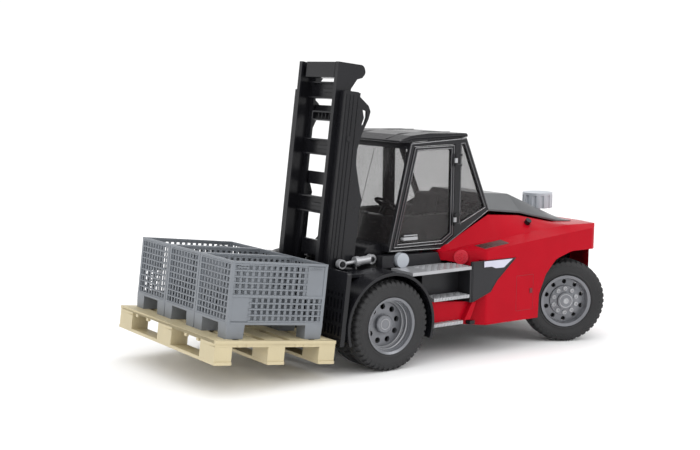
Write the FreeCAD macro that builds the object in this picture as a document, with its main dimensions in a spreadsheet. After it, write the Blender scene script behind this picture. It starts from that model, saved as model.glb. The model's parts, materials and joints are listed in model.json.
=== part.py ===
import FreeCAD, Part
import math
import os

# A toy forklift with its load: a pallet and three mesh boxes on the forks.
# Left is +X, forward is -Y, up is +Z, and the ground is z = 0.
# Most pieces are drawn in the axle frame, whose origin is on the ground under the front
# axle. Everything on the mast is drawn in the mast frame, whose origin is the lower rear
# edge of the pallet and whose Z runs up the mast.

Vector = FreeCAD.Vector
Rotation = FreeCAD.Rotation
Placement = FreeCAD.Placement

CELLS = [
    ("axle_y", -46.36, "front axle, measured from the middle of the whole object"),
    ("wheel_r", 35, "tyre radius, front and rear"),
    ("rim_r", 20.9, "radius where the rim meets the tyre"),
    ("front_inner_x", 41.5, "inner face of the dual front tyres"),
    ("front_outer_x", 78.1, "outer face of the dual front tyres"),
    ("kingpin_x", 60.6, "rear kingpin from the middle"),
    ("kingpin_y", 193.4, "rear kingpin behind the front axle"),
    ("steer_rest", 25.3, "degrees the rear wheels are turned at rest"),
    ("steer_arm", 11, "length of the knuckle arms and of the knob's crank"),
    ("knob_y", 221, "steering knob behind the front axle"),
    ("half_width", 76, "side plane of the red body"),
    ("wall", 2, "thickness of the moulded shells"),
    ("cab_half", 46, "outer face of the cab sides"),
    ("cab_wall", 3, "thickness of the cab sides and doors"),
    ("mast_tilt", 6.67, "degrees the mast leans back at rest"),
    ("mast_y", -52.67, "mast frame's origin behind the front axle"),
    ("mast_z", 12.51, "mast frame's origin above the ground"),
    ("pivot_y", 22, "mast pivot in the mast frame, towards the rear"),
    ("pivot_z", 14, "mast pivot in the mast frame, up the mast"),
    ("outer_x", 36, "outer face of the outer mast"),
    ("inner_x", 27.5, "outer face of the inner mast"),
    ("outer_top", 202, "top of the outer mast"),
    ("inner_top", 224, "top of the inner mast"),
    ("channel_wall", 2, "thickness of the mast channels"),
    ("carriage_half", 76.5, "half width of the fork carriage"),
    ("fork_x", 33, "middle of each fork"),
    ("fork_wide", 11, "width of a fork"),
    ("fork_long", 92, "reach of the forks"),
    ("pallet_wide", 154, "pallet across the forks"),
    ("pallet_long", 101.2, "pallet along the forks"),
    ("pallet_high", 17.25, "pallet height"),
    ("board", 2.3, "thickness of every pallet board"),
    ("box_wide", 47.2, "mesh box across the forks"),
    ("box_pitch", 47.6, "mesh box to mesh box"),
    ("box_long", 81.1, "mesh box along the forks"),
    ("box_high", 55.4, "mesh box with its feet"),
    ("box_foot", 10.5, "height of a mesh box's feet"),
    ("box_wall", 1.6, "thickness of a mesh box's walls"),
    ("tilt_x", 41, "middle of each tilt cylinder"),
    ("shaft_r", 3, "radius of the axle, the mast pins and the stub axles"),
    ("running", 0.06, "radial clearance of what turns"),
    ("hinge_x", 47.6, "door hinge pins from the middle"),
    ("hinge_y", 84.85, "door hinge pins behind the front axle"),
    ("hinge_pin", 0.8, "radius of the door hinge pins"),
]

doc = FreeCAD.newDocument("toy_forklift")
sheet = doc.addObject("Spreadsheet::Sheet", "sheet")
for row, (alias, number, meaning) in enumerate(CELLS, start=1):
    sheet.set(f"A{row}", meaning)
    sheet.set(f"B{row}", str(number))
    sheet.setAlias(f"B{row}", alias)
doc.recompute()

# Where the tilt cylinders pivot: (y, z) on the cowl, and (towards the rear, up) on the mast.
TILT_PIVOT = (6, 81.2)
TILT_PIN = (22.5, 70)

# Each door hinge's knuckle, low and high; the frame's lugs stand above and below it.
HINGES = ((105, 111), (153, 159))

# The tilt knob's centre, (y, z), in the left side cover.
TILT_KNOB = (29, 79.6)

# Sections of the red body: y, crease z, (shelf x, z), (hood edge x, z).
BODY_STATIONS = [
    (66, 82.5, (51, 82.8), (46, 83.2)),
    (95, 85.2, (52.5, 87), (46, 96.8)),
    (121, 87.6, (57, 90), (46, 109.6)),
    (155, 90.8, (63, 95.2), (47, 107.2)),
    (190, 94.0, (70, 99.6), (50, 100.0)),
    (222, 96.6, (70, 99.0), (50, 98.6)),
    (240, 96.2, (70, 96.8), (50, 96.8)),
    (246, 92.5, (70, 92.6), (50, 92.6)),
]

NODES = []


def v(alias):
    """The value of one cell of the sheet."""
    return float(sheet.get(alias))


def bind(thing, prop, rule):
    """Bind a property to the sheet; bare words that are cell names get the sheet's prefix."""
    words = str(rule).replace("(", " ( ").replace(")", " ) ").split()
    names = {alias for alias, number, meaning in CELLS}
    thing.setExpression(prop, " ".join("sheet." + w if w in names else w for w in words))


def node(thing, label):
    """Make a thing one of the forklift's pieces, under its own name."""
    thing.Label = label
    NODES.append(thing)
    return thing


def in_axle_frame(thing, label):
    bind(thing, "Placement.Base.y", "axle_y")
    return node(thing, label)


def in_mast_frame(thing, label):
    bind(thing, "Placement.Base.y", "axle_y + mast_y")
    bind(thing, "Placement.Base.z", "mast_z")
    bind(thing, "Placement.Rotation.Angle", "0 - mast_tilt")
    thing.Placement.Rotation = Rotation(Vector(1, 0, 0), -v("mast_tilt"))
    return node(thing, label)


# ---- sketches and features -------------------------------------------------------------

def rounded(corners):
    """Turn corners (a, b) or (a, b, radius) into the lines and arcs of a closed outline."""
    points = [Vector(c[0], c[1], 0) for c in corners]
    radii = [c[2] if len(c) > 2 else 0 for c in corners]
    count = len(points)
    ends = []
    for i in range(count):
        corner, before, after = points[i], points[i - 1], points[(i + 1) % count]
        to_before = (before - corner).normalize()
        to_after = (after - corner).normalize()
        half = to_before.getAngle(to_after) / 2
        if not radii[i]:
            ends.append((corner, corner, None))
            continue
        reach = radii[i] / math.tan(half)
        middle = (to_before + to_after).normalize()
        centre = corner + middle * (radii[i] / math.sin(half))
        ends.append((corner + to_before * reach, corner + to_after * reach,
                     centre - middle * radii[i]))
    edges = []
    for i in range(count):
        start, stop, crest = ends[i]
        if crest is not None:
            edges.append(Part.Arc(start, crest, stop))
        leave, arrive = stop, ends[(i + 1) % count][0]
        if (arrive - leave).Length > 1e-6:
            edges.append(Part.LineSegment(leave, arrive))
    return edges


def circle(a, b, radius):
    return [Part.Circle(Vector(a, b, 0), Vector(0, 0, 1), radius)]


def box_corners(a0, b0, a1, b1, radius=0):
    return [(a0, b0, radius), (a1, b0, radius), (a1, b1, radius), (a0, b1, radius)]


def new_body(name):
    body = doc.addObject("PartDesign::Body", name)
    body.AllowCompound = True
    return body


def sketch_on(body, plane, offset, outlines):
    """A sketch in a body on its XY, XZ or YZ plane, moved along the plane's normal."""
    support = [f for f in body.Origin.OriginFeatures if f.Role == plane + "_Plane"][0]
    sketch = body.newObject("Sketcher::SketchObject", body.Name + "_sketch")
    sketch.AttachmentSupport = (support, [""])
    sketch.MapMode = "FlatFace"
    bind(sketch, "AttachmentOffset.Base.z", offset)
    for outline in outlines:
        edges = outline if not isinstance(outline[0], tuple) else rounded(outline)
        sketch.addGeometry(edges, False)
    return sketch


def pad(body, plane, low, high, *outlines):
    """Add the outlines, from low to high across the plane (along +Z, +Y or +X)."""
    offset = f"0 - ({high})" if plane == "XZ" else low
    feature = body.newObject("PartDesign::Pad", body.Name + "_pad")
    feature.Profile = sketch_on(body, plane, offset, outlines)
    bind(feature, "Length", f"({high}) - ({low})")
    return body


def pocket(body, plane, low, high, *outlines):
    """Cut the outlines away, from low to high across the plane."""
    offset = f"0 - ({low})" if plane == "XZ" else high
    doc.recompute()
    feature = body.newObject("PartDesign::Pocket", body.Name + "_pocket")
    feature.Profile = sketch_on(body, plane, offset, outlines)
    bind(feature, "Length", f"({high}) - ({low})")
    return feature


def around(body, feature, count):
    """Repeat a feature evenly about the body's X axis."""
    axis = [f for f in body.Origin.OriginFeatures if f.Role == "X_Axis"][0]
    pattern = body.newObject("PartDesign::PolarPattern", body.Name + "_pattern")
    pattern.Originals = [feature]
    pattern.Axis = (axis, [""])
    pattern.Angle = 360
    pattern.Occurrences = count
    body.Tip = pattern
    return body


def turned(body, outline):
    """Turn an outline of (x, radius) corners about the body's X axis."""
    axis = [f for f in body.Origin.OriginFeatures if f.Role == "X_Axis"][0]
    feature = body.newObject("PartDesign::Revolution", body.Name + "_turned")
    feature.Profile = sketch_on(body, "XZ", 0, [outline])
    feature.ReferenceAxis = (axis, [""])
    feature.Angle = 360
    return body


def slab(name, x0, x1, y0, y1, z0, z1):
    """A box between two corners; each bound is a number or a rule of cells."""
    box = doc.addObject("Part::Box", name)
    bind(box, "Length", f"({x1}) - ({x0})")
    bind(box, "Width", f"({y1}) - ({y0})")
    bind(box, "Height", f"({z1}) - ({z0})")
    bind(box, "Placement.Base.x", x0)
    bind(box, "Placement.Base.y", y0)
    bind(box, "Placement.Base.z", z0)
    return box


def rod(name, radius, start, stop):
    """A round rod between two points."""
    start, stop = Vector(*start), Vector(*stop)
    cylinder = doc.addObject("Part::Cylinder", name)
    bind(cylinder, "Radius", radius)
    cylinder.Height = (stop - start).Length
    cylinder.Placement = Placement(start, Rotation(Vector(0, 0, 1), stop - start))
    return cylinder


def prism(name, plane, low, high, *outlines):
    return pad(new_body(name), plane, low, high, *outlines)


def both_sides(name, maker):
    """The left-hand maker's shape and its mirror image in the plane x = 0."""
    left = maker(name + "_one")
    mirror = doc.addObject("Part::Mirroring", name + "_other")
    mirror.Source = left
    mirror.Normal = Vector(1, 0, 0)
    return [left, mirror]


def mirrored(thing, name):
    mirror = doc.addObject("Part::Mirroring", name)
    mirror.Source = thing
    mirror.Normal = Vector(1, 0, 0)
    return mirror


def fuse(name, *things):
    joined = doc.addObject("Part::MultiFuse", name)
    joined.Shapes = list(things)
    joined.Refine = True
    return joined


def group(name, *things):
    """Separate solids that share one node."""
    compound = doc.addObject("Part::Compound", name)
    compound.Links = list(things)
    return compound


def cut(name, base, *tools):
    result = doc.addObject("Part::Cut", name)
    result.Base = base
    result.Tool = tools[0] if len(tools) == 1 else fuse(name + "_tools", *tools)
    return result


def loft(name, stations):
    """A solid through cross-sections, each (y, [(x, z), ...]), with flat sides between."""
    sections = []
    for y, corners in stations:
        sketch = doc.addObject("Sketcher::SketchObject", name + "_section")
        sketch.Placement = Placement(Vector(0, y, 0), Rotation(Vector(1, 0, 0), 90))
        sketch.addGeometry(rounded(corners), False)
        sections.append(sketch)
    solid = doc.addObject("Part::Loft", name)
    solid.Sections = sections
    solid.Solid = True
    solid.Ruled = True
    return solid


def symmetric(half):
    """Close a right-to-left symmetric outline from its left half, listed bottom to top."""
    return half + [(-corner[0], corner[1]) for corner in reversed(half)]


# ---- chassis ---------------------------------------------------------------------------

def mast_point(towards_rear, up):
    """A point of the mast frame in the axle frame, as (y, z)."""
    lean = math.radians(v("mast_tilt"))
    y = v("mast_y") + towards_rear * math.cos(lean) + up * math.sin(lean)
    z = v("mast_z") - towards_rear * math.sin(lean) + up * math.cos(lean)
    return y, z


def chassis_frame():
    pivot = mast_point(v("pivot_y"), v("pivot_z"))
    side = [(-35.6, 17.4, 5), (-22, 17.4), (10, 24), (150, 24), (150, 60), (-12, 60), (-20, 31),
            (-35.6, 31, 5)]
    plates = []
    for sign in (1, -1):
        low, high = (37, 40) if sign > 0 else (-40, -37)
        plate = pad(new_body("frame_plate"), "YZ", low, high, side)
        pocket(plate, "YZ", low, high, circle(*pivot, v("shaft_r")), circle(0, 35, v("shaft_r")))
        plates.append(plate)
    floor = slab("frame_floor", -37, 37, -8, 150, 24, 27)
    front = slab("frame_front", -37, 37, -12, -8, 24, 60)
    middle = slab("frame_middle", -37, 37, 60, 63, 27, 60)
    back = slab("frame_back", -72, 72, 147, 150, 27, 77)
    outriggers = slab("frame_outriggers", -70, 70, 84, 150, 25.5, 28.5)
    spine_top = slab("spine_top", -28, 28, 150, 236, 71, 74)
    spine_left = slab("spine_left", 25, 28, 150, 236, 44, 71)
    spine_right = slab("spine_right", -28, -25, 150, 236, 44, 71)
    saddle = slab("spine_saddle", -25, 25, 188, 199, 39, 71)
    tower = rod("knob_tower", 7, (0, 221, 44), (0, 221, 74))
    tower_foot = slab("tower_foot", -25, 25, 218, 224, 44, 71)
    liner = prism("arch_liner", "XY", 78, 79.5, [
        (-73.5, 152), (73.5, 152), (73.5, 213), (58, 228), (-58, 228), (-73.5, 213)])
    post = slab("liner_post", -28, 28, 152, 216, 74, 78)
    frame = fuse("frame_joined", *plates, floor, front, middle, back, outriggers, spine_top,
                 spine_left, spine_right, saddle, tower, tower_foot, liner, post)
    bore = rod("knob_bore", "shaft_r + running", (0, 221, 40), (0, 221, 85))
    in_axle_frame(cut("frame", frame, bore), "chassis_frame")


def front_axle():
    in_axle_frame(rod("axle", "shaft_r", (-66, 0, 35), (66, 0, 35)), "front_axle")


def mast_pins():
    y, z = mast_point(v("pivot_y"), v("pivot_z"))
    pins = both_sides("mast_pin", lambda name: rod(name, "shaft_r", (28, y, z), (40, y, z)))
    in_axle_frame(group("pins", *pins), "mast_pins")


def body_shell():
    """The red moulding: both flanks, the sloping shelves and the counterweight."""
    half, wall = v("half_width"), v("wall")

    def section(crease, shelf, edge, inset, floor):
        corners = [(half - inset, floor), (half - inset, crease - inset)]
        corners.append((shelf[0] - inset, shelf[1] - inset))
        corners.append((edge[0] - inset / 2, edge[1] - inset))
        return symmetric(corners)

    outer = [(y, section(c, s, e, 0, 25)) for y, c, s, e in BODY_STATIONS]
    inner = [(y, section(c, s, e, wall, 20)) for y, c, s, e in BODY_STATIONS]
    inner[0] = (64,) + inner[0][1:]
    inner[-1] = (243.5,) + inner[-1][1:]
    skin = loft("shell_outer", outer)
    hollow = loft("shell_inner", inner)
    # Seen from above, the nose is cut off diagonally and the tail is rounded.
    plan = [(46, 66), (51, 70), (76, 95.5, 3), (76, 216, 9), (64, 228, 14), (46, 236, 40),
            (20, 245.9, 60)]
    whole = plan + [(-c[0],) + tuple(c[1:]) for c in reversed(plan)]
    plan_prism = prism("shell_plan", "XY", 0, 130, whole)
    shaped = doc.addObject("Part::Common", "shell_shaped")
    shaped.Base, shaped.Tool = skin, plan_prism
    inner_plan = [(x - math.copysign(wall, x), y - (wall if y > 200 else 0)) for x, y, *r in whole]
    inner_prism = prism("shell_inner_plan", "XY", 0, 130, inner_plan)
    room = doc.addObject("Part::Common", "shell_room")
    room.Base, room.Tool = hollow, inner_prism
    arch = [(151.5, 0), (153.5, 44.7), (160.5, 60.5, 8), (172, 72.5, 14), (190, 77.9, 20),
            (232, 77.9), (232, 0)]
    recess = [(60, 0), (69.5, 25), (81.5, 45, 3), (100.2, 51.5, 3), (107, 60.4, 4), (127, 77.6),
              (91, 77.6), (91, 71.5), (72, 76.5), (60, 76.5)]
    cuts = []
    for sign in (1, -1):
        low, high = ("36", "90") if sign > 0 else ("-90", "-36")
        cuts.append(prism("arch_cut", "YZ", low, high, arch))
        low, high = ("40", "90") if sign > 0 else ("-90", "-40")
        cuts.append(prism("recess_cut", "YZ", low, high, recess))
    cab_room = slab("cab_room", -46, 46, 60, 122, 84, 130)
    bay = slab("engine_bay", -43, 43, 121, 214, 60, 130)
    front_low = slab("front_low", -90, 90, 60, 68, 0, 84)
    tail = slab("tail_low", -36, 36, 150, 260, 0, 42)
    stem = rod("stem_hole", 4, (0, 221, 60), (0, 221, 120))
    shell = cut("shell", shaped, room, *cuts, cab_room, bay, front_low, tail, stem)

    def sill(name):
        """The red box between the middle and the lower step, and the web that carries it."""
        box = prism(name + "_box", "YZ", 61.2, 71, [
            (41.6, 31.2), (76, 31.2), (82, 44.8), (41.6, 48.5)])
        web = prism(name + "_web", "YZ", 61.2, 75, [
            (74, 31.2), (80, 31.2), (86, 44.8), (81.7, 44.8)])
        return fuse(name, box, web)
    in_axle_frame(fuse("shell_with_sills", shell, *both_sides("sill", sill)), "body_shell")


def side_panels():
    """The dark panel behind the steps: a recessed wall that comes out flush with the flank."""
    flush = [(81.5, 45.2, 3), (100, 51.7, 3), (106.8, 60.6, 4), (126.4, 77.4), (80, 77.4),
             (80, 45.2)]

    def one(name):
        plate = prism(name + "_flush", "YZ", "half_width - wall", "half_width + 0.3", flush)
        wall = slab(name + "_wall", 59, 61, 41.6, 80, 28.6, 71.5)
        turn = slab(name + "_turn", 61, 76, 78, 80, 45.2, 71.5)
        return fuse(name, plate, wall, turn)
    in_axle_frame(group("panels", *both_sides("panel", one)), "side_panels")


def lamp_inserts():
    outline = [(92, 72.2), (100, 72.2, 2), (104, 70.6), (113, 70.6), (122.5, 77), (92, 77)]

    def one(name):
        return prism(name, "YZ", 76.4, 77.1, outline)
    in_axle_frame(group("lamps", *both_sides("lamp", one)), "lamp_inserts")


def vent_grilles():
    """Mesh inserts sunk into the two sloping shelves."""
    proud, sunk = 0.2, 0.8

    def one(name):
        sections = []
        for y, crease, shelf, edge in BODY_STATIONS[1:4]:
            sections.append((y, [(v("half_width"), crease - sunk), (v("half_width"), crease + proud),
                                 (shelf[0], shelf[1] + proud), (shelf[0], shelf[1] - sunk)]))
        skin = loft(name + "_skin", sections)
        outline = prism(name + "_outline", "XY", 80, 100, [
            (57, 98), (70.5, 98), (70.5, 124), (59.5, 124)])
        mesh = doc.addObject("Part::Common", name)
        mesh.Base, mesh.Tool = skin, outline
        return mesh
    in_axle_frame(group("vents", *both_sides("vent", one)), "vent_grilles")


def nose_caps():
    """Round caps on the diagonal faces of the nose."""
    def one(name):
        return rod(name, 5, (60.95, 81.27, 79.6), (62.9, 79.32, 79.6))
    in_axle_frame(group("caps", *both_sides("cap", one)), "nose_caps")


def shelf_knobs():
    def one(name):
        return rod(name, 2.6, (55.4, 157, 101.6), (57.6, 157, 104.2))
    in_axle_frame(group("shelf_knob_pair", *both_sides("shelf_knob", one)), "shelf_knobs")


def steps():
    """Three treads a side, the top one flared over the front wheel."""
    def one(name):
        top = prism(name + "_top", "XY", 71.6, 74.2, [
            (50.2, 19.2), (78, 19.2), (78, 28), (76.5, 79), (61, 79), (50.2, 68)])
        dip = rod(name + "_knob_room", 6.3, (50, *TILT_KNOB), (53.4, *TILT_KNOB))
        middle = prism(name + "_middle", "XY", 49, 51.6, [
            (61.2, 42), (76, 42), (76, 77.8), (61.2, 77.8)])
        low = prism(name + "_low", "XY", 28.4, 31, [
            (61.2, 42), (75, 42), (75, 72.6), (61.2, 72.6)])
        return group(name, cut(name + "_dipped", top, dip), middle, low)
    in_axle_frame(group("treads", *both_sides("tread", one)), "steps")


def fender(side):
    """A mudguard over one front wheel, from its front flap to behind the wheel."""
    outer, inner = 41, 38.6
    start, stop = math.radians(-17), math.radians(200)

    def at(radius, angle):
        return Vector(-radius * math.cos(angle), 35 + radius * math.sin(angle), 0)

    middle = (start + stop) / 2
    band = [Part.Arc(at(outer, start), at(outer, middle), at(outer, stop)),
            Part.LineSegment(at(outer, stop), at(inner, stop)),
            Part.Arc(at(inner, stop), at(inner, middle), at(inner, start)),
            Part.LineSegment(at(inner, start), at(outer, start))]
    arch = prism("guard_band_" + side, "YZ", "cab_half + 4.2", "front_outer_x", band)
    ledge = slab("guard_ledge_" + side, 42, 60, -26, 9, 71.5, 74)
    whole = fuse("guard_" + side, arch, ledge)
    if side == "right":
        whole = mirrored(whole, "guard_mirror")
    in_axle_frame(whole, "fender_" + side)


def side_cover(side):
    """The cover under the cab door, with a round recess for the tilt knob."""
    cover = prism("cover_" + side, "YZ", 42, 50, [(10.6, 74.4), (70, 74.4), (66, 83), (10.6, 83.9)])
    pocket(cover, "YZ", 47, 50, circle(*TILT_KNOB, 7.4))
    shaft_hole = pocket(cover, "YZ", 42, 47, circle(*TILT_KNOB, 2.06))
    shaft_hole.Label = "knob_bore_" + side
    if side == "right":
        cover = mirrored(cover, "cover_mirror")
    in_axle_frame(cover, "side_cover_" + side)


def cowl():
    """The black nose under the windscreen, with the ears that the tilt cylinders pivot on."""
    nose = prism("cowl_nose", "YZ", -36, 36, [
        (-4, 60.4), (58, 60.4), (58, 84), (24, 84), (18, 92, 2), (7, 91, 8), (-4, 75, 12)])
    pocket(nose, "YZ", -34, 34, [
        (0, 60.4), (54, 60.4), (54, 82), (20, 82), (15, 89), (8, 88, 5), (0, 75, 8)])

    def pin(name):
        return rod(name, 2, (36, *TILT_PIVOT), (43.6, *TILT_PIVOT))
    pins = both_sides("tilt_pin", pin)
    in_axle_frame(fuse("cowl_whole", nose, *pins), "cowl")


def hood():
    """The dark engine cover behind the cab."""
    # Each station: y, edge x, edge z, ridge x, ridge z.
    stations = [(123.5, 45, 114.2, 30, 126.4), (157, 46, 110.6, 30, 124),
                (200, 47.5, 100.6, 31, 106.4), (216, 47.5, 99.4, 31, 100.2)]

    def section(edge_x, edge_z, ridge_x, ridge_z, inset):
        low = edge_z - 1.6 - 4 * inset
        return symmetric([(edge_x - inset, low), (edge_x - inset, edge_z - inset / 2),
                          (ridge_x - inset / 2, ridge_z - inset)])
    outer = loft("hood_outer", [(y, section(*s, 0)) for y, *s in stations])
    inner_stations = [(max(125.5, min(214, y)), section(*s, 1.8)) for y, *s in stations]
    inner = loft("hood_inner", inner_stations)
    in_axle_frame(cut("hood_cut", outer, inner), "hood")


# ---- cab -------------------------------------------------------------------------------

DOOR = [(23.6, 88.4), (44, 167.6), (84.6, 168.6), (84.6, 95.5), (73.4, 88.4)]
DOOR_GAP = [(22.9, 87.9), (43.5, 168.1), (85.1, 169.1), (85.1, 95), (73.6, 87.9)]
DOOR_WINDOW = [(28.2, 92), (46.8, 164.4, 2), (81, 165.2, 2), (81, 97.4, 2), (72, 92, 2)]
QUARTER = [(92, 105.5, 1), (92, 168.5, 1), (94.6, 168.6, 1), (117, 116.5, 1)]


def cab_frame():
    side = [(19.4, 86), (40, 171), (97, 174), (123, 113.4), (73, 84.6)]
    sides = []
    for low, high in (("cab_half - cab_wall", "cab_half"), ("0 - cab_half", "cab_wall - cab_half")):
        plate = prism("cab_side", "YZ", low, high, side)
        pocket(plate, "YZ", low, high, DOOR_GAP, QUARTER)
        sides.append(plate)
    bars = [
        prism("header", "YZ", -43, 43, [(38.8, 166), (44, 166), (45.2, 171.2), (40, 171)]),
        prism("scuttle", "YZ", -43, 43, [(19.4, 86), (23.2, 86), (24.6, 92), (20.9, 92)]),
        prism("rear_header", "YZ", -43, 43, [
            (93.5, 168.8), (99.2, 168.8), (97, 174), (93.5, 173.8)]),
        prism("rear_sill", "YZ", -43, 43, [
            (117.6, 113), (123, 113.4), (120.6, 119), (116.4, 119)]),
        slab("rear_wall", -43, 43, 117, 119, 86, 114),
        slab("cab_floor", -43, 43, 24.2, 119, 84.2, 86),
    ]
    lugs = both_sides("hinge_lugs", hinge_lugs)
    in_axle_frame(fuse("cab_joined", *sides, *bars, *lugs), "cab_frame")


def hinge_lugs(name):
    """The frame's half of one door's hinges: a pin between two lugs, twice."""
    x, y, around_pin = v("hinge_x"), v("hinge_y"), 1.2
    solids = []
    for low, high in HINGES:
        solids.append(rod(name + "_pin", "hinge_pin", (x, y, low - 2), (x, y, high + 2)))
        for start, stop in ((low - 2, low - 0.3), (high + 0.3, high + 2)):
            solids.append(rod(name + "_eye", around_pin, (x, y, start), (x, y, stop)))
            solids.append(slab(name + "_arm", x - around_pin, x + around_pin, y, 90, start, stop))
            solids.append(slab(name + "_base", "cab_half - 1", x, 86, 90, start, stop))
    return fuse(name, *solids)


def hinge_knuckles(name):
    """The door's half of its hinges: two leaves with round knuckles, still without bores."""
    x, y = v("hinge_x"), v("hinge_y")
    solids = []
    for low, high in HINGES:
        solids.append(rod(name + "_round", 1.2, (x, y, low), (x, y, high)))
        solids.append(slab(name + "_leaf", "cab_half - 1", x, 82, y, low, high))
    return solids


def cab_glazing():
    windscreen = prism("windscreen", "YZ", -43, 43, [
        (21.6, 92), (22.6, 92), (40.3, 166), (39.3, 166)])
    back_pane = prism("back_pane", "YZ", -43, 43, [
        (119.2, 119), (120.2, 119), (99, 168.8), (98, 168.8)])

    def quarter(name):
        return prism(name, "YZ", "cab_half - 2", "cab_half - 1", QUARTER)
    panes = both_sides("quarter_pane", quarter)
    in_axle_frame(group("panes", windscreen, back_pane, *panes), "cab_glazing")


def roof():
    top = prism("roof_top", "YZ", -44, 44, [
        (30, 171.2), (40, 171.3), (97, 174.3), (100, 174.4, 1), (99, 177.4, 2), (60, 178.2, 20),
        (42, 176.6, 6), (29, 172.6, 1)])
    in_axle_frame(top, "roof")


def dashboard():
    console = prism("console", "YZ", -26, 26, [
        (24.6, 86.2), (42, 86.2), (42, 96), (38, 112, 2), (28.2, 112, 2)])
    column = rod("column", 2.4, (0, 38, 98), (0, 49.6, 116.4))
    in_axle_frame(fuse("console_joined", console, column), "dashboard")


def steering_wheel():
    ring = doc.addObject("Part::Torus", "wheel_ring")
    ring.Radius1 = 9.5
    ring.Radius2 = 1.1
    hub = rod("wheel_hub", 2.6, (0, 0, -1.2), (0, 0, 1.2))
    spokes = [rod("wheel_spoke", 0.9, (0, 0, 0), (9.5 * math.cos(a), 9.5 * math.sin(a), 0))
              for a in (math.radians(90), math.radians(210), math.radians(330))]
    wheel = fuse("wheel_joined", ring, hub, *spokes)
    lean = -math.degrees(math.atan2(11.6, 18.4))
    wheel.Placement = Placement(Vector(0, 50.6, 118), Rotation(Vector(1, 0, 0), lean))
    bind(wheel, "Placement.Base.y", "axle_y + 50.6")
    node(wheel, "steering_wheel")


def seat():
    base = prism("seat_base", "XZ", 62, 90, box_corners(-14, 86.2, 14, 99))
    cushion = prism("seat_cushion", "YZ", -16, 16, box_corners(58, 98, 92, 106, 3))
    back = prism("seat_back", "YZ", -15, 15, [
        (83, 103), (91, 103), (97.2, 127, 2.5), (90.4, 127, 2.5)])
    in_axle_frame(fuse("seat_joined", base, cushion, back), "seat")


def door(side):
    frame = prism("door_frame_" + side, "YZ", "cab_half - cab_wall", "cab_half", DOOR)
    pocket(frame, "YZ", "cab_half - cab_wall", "cab_half", DOOR_WINDOW)
    joined = fuse("door_joined_" + side, frame, *hinge_knuckles("knuckle_" + side))
    x, y = v("hinge_x"), v("hinge_y")
    bore = rod("hinge_bore_" + side, "hinge_pin + running", (x, y, 90), (x, y, 165))
    frame = cut("door_bored_" + side, joined, bore)
    pane = prism("door_pane_" + side, "YZ", "cab_half - 2", "cab_half - 1", DOOR_WINDOW)
    grip = slab("handle_grip_" + side, "cab_half + 1.8", "cab_half + 3", 32, 46, 94.6, 97.2)
    handle = fuse("handle_joined_" + side, grip, *[
        slab("handle_foot_" + side, "cab_half", "cab_half + 1.8", y, y + 2, 95, 96.8)
        for y in (33, 43)])
    if side == "right":
        frame, pane, handle = [mirrored(thing, thing.Name + "_mirror")
                               for thing in (frame, pane, handle)]
    in_axle_frame(frame, "door_" + side)
    in_axle_frame(pane, "door_glass_" + side)
    in_axle_frame(handle, "door_handle_" + side)


# ---- wheels and steering ---------------------------------------------------------------

def tyre_outline(low, high):
    inner, outer = v("rim_r") + 0.05, v("wheel_r")
    return [
        (low + 2, inner), (low + 0.4, inner + 2), (low, outer - 7), (low + 1.2, outer, 2.4),
        (high - 1.2, outer, 2.4), (high, outer - 7), (high - 0.4, inner + 2), (high - 2, inner)]


def front_wheel(side):
    """Dual tyres on one deep-dished rim, turning on the front axle."""
    inner, outer, seat_r = v("front_inner_x"), v("front_outer_x"), v("rim_r")
    bore = v("shaft_r") + v("running")
    face = outer - 12.5
    rim = turned(new_body("front_rim_" + side), [
        (inner + 3, bore), (face + 0.4, bore), (face + 0.4, 0), (face + 3.4, 0),
        (face + 3.4, 6.4), (face + 2.6, 7.3), (face, 7.3), (face, seat_r - 3.4),
        (outer - 8, seat_r - 3), (outer - 8, seat_r - 2.2), (outer - 4.5, seat_r - 1.8),
        (outer - 4.5, seat_r - 1.1), (outer - 1.4, seat_r - 0.9), (outer - 0.6, seat_r + 1),
        (outer - 1.6, seat_r + 1), (outer - 2.2, seat_r), (inner + 1, seat_r),
        (inner + 1, seat_r - 1.4), (face - 3, seat_r - 3.4), (face - 2, 8), (inner + 3, 6)])
    holes = pocket(rim, "YZ", face - 4, face + 1, circle(0, 13.4, 2.3))
    around(rim, holes, 9)
    tyres = group("front_tyre_pair_" + side,
                  turned(new_body("tyre_inside_" + side), tyre_outline(inner, inner + 17.6)),
                  turned(new_body("tyre_outside_" + side), tyre_outline(outer - 17.6, outer)))
    turn = Rotation(Vector(0, 0, 1), 0 if side == "left" else 180)
    for thing, label in ((rim, "front_rim_" + side), (tyres, "front_tyres_" + side)):
        thing.Placement = Placement(Vector(0, v("axle_y"), v("wheel_r")), turn)
        node(thing, label)


def rear_wheel(side):
    """A single tyre on a shallow rim, turning on the knuckle's stub axle."""
    seat_r, bore = v("rim_r"), v("shaft_r") + v("running")
    rim = turned(new_body("rear_rim_" + side), [
        (5.6, bore), (11.8, bore), (11.8, 0), (14.4, 0), (14.4, 2), (13.8, 6.8), (11.6, 7.2),
        (10.6, 12.6), (8.8, 13), (8.2, 18.4), (11.5, 19.2), (13.8, 19.5), (14.6, seat_r + 1),
        (13.6, seat_r + 1), (12.6, seat_r), (-6.6, seat_r), (-6.6, 19.7), (5.4, 19.5),
        (6.4, 12), (8, 11.4), (8.4, 7), (5.6, 6)])
    holes = pocket(rim, "YZ", 4, 12, circle(0, 16, 1.9))
    around(rim, holes, 10)
    tyre = turned(new_body("rear_tyre_" + side), tyre_outline(-7, 15))
    for thing, label in ((rim, "rear_rim_" + side), (tyre, "rear_tyre_" + side)):
        steered(thing, side)
        node(thing, label)


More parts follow.
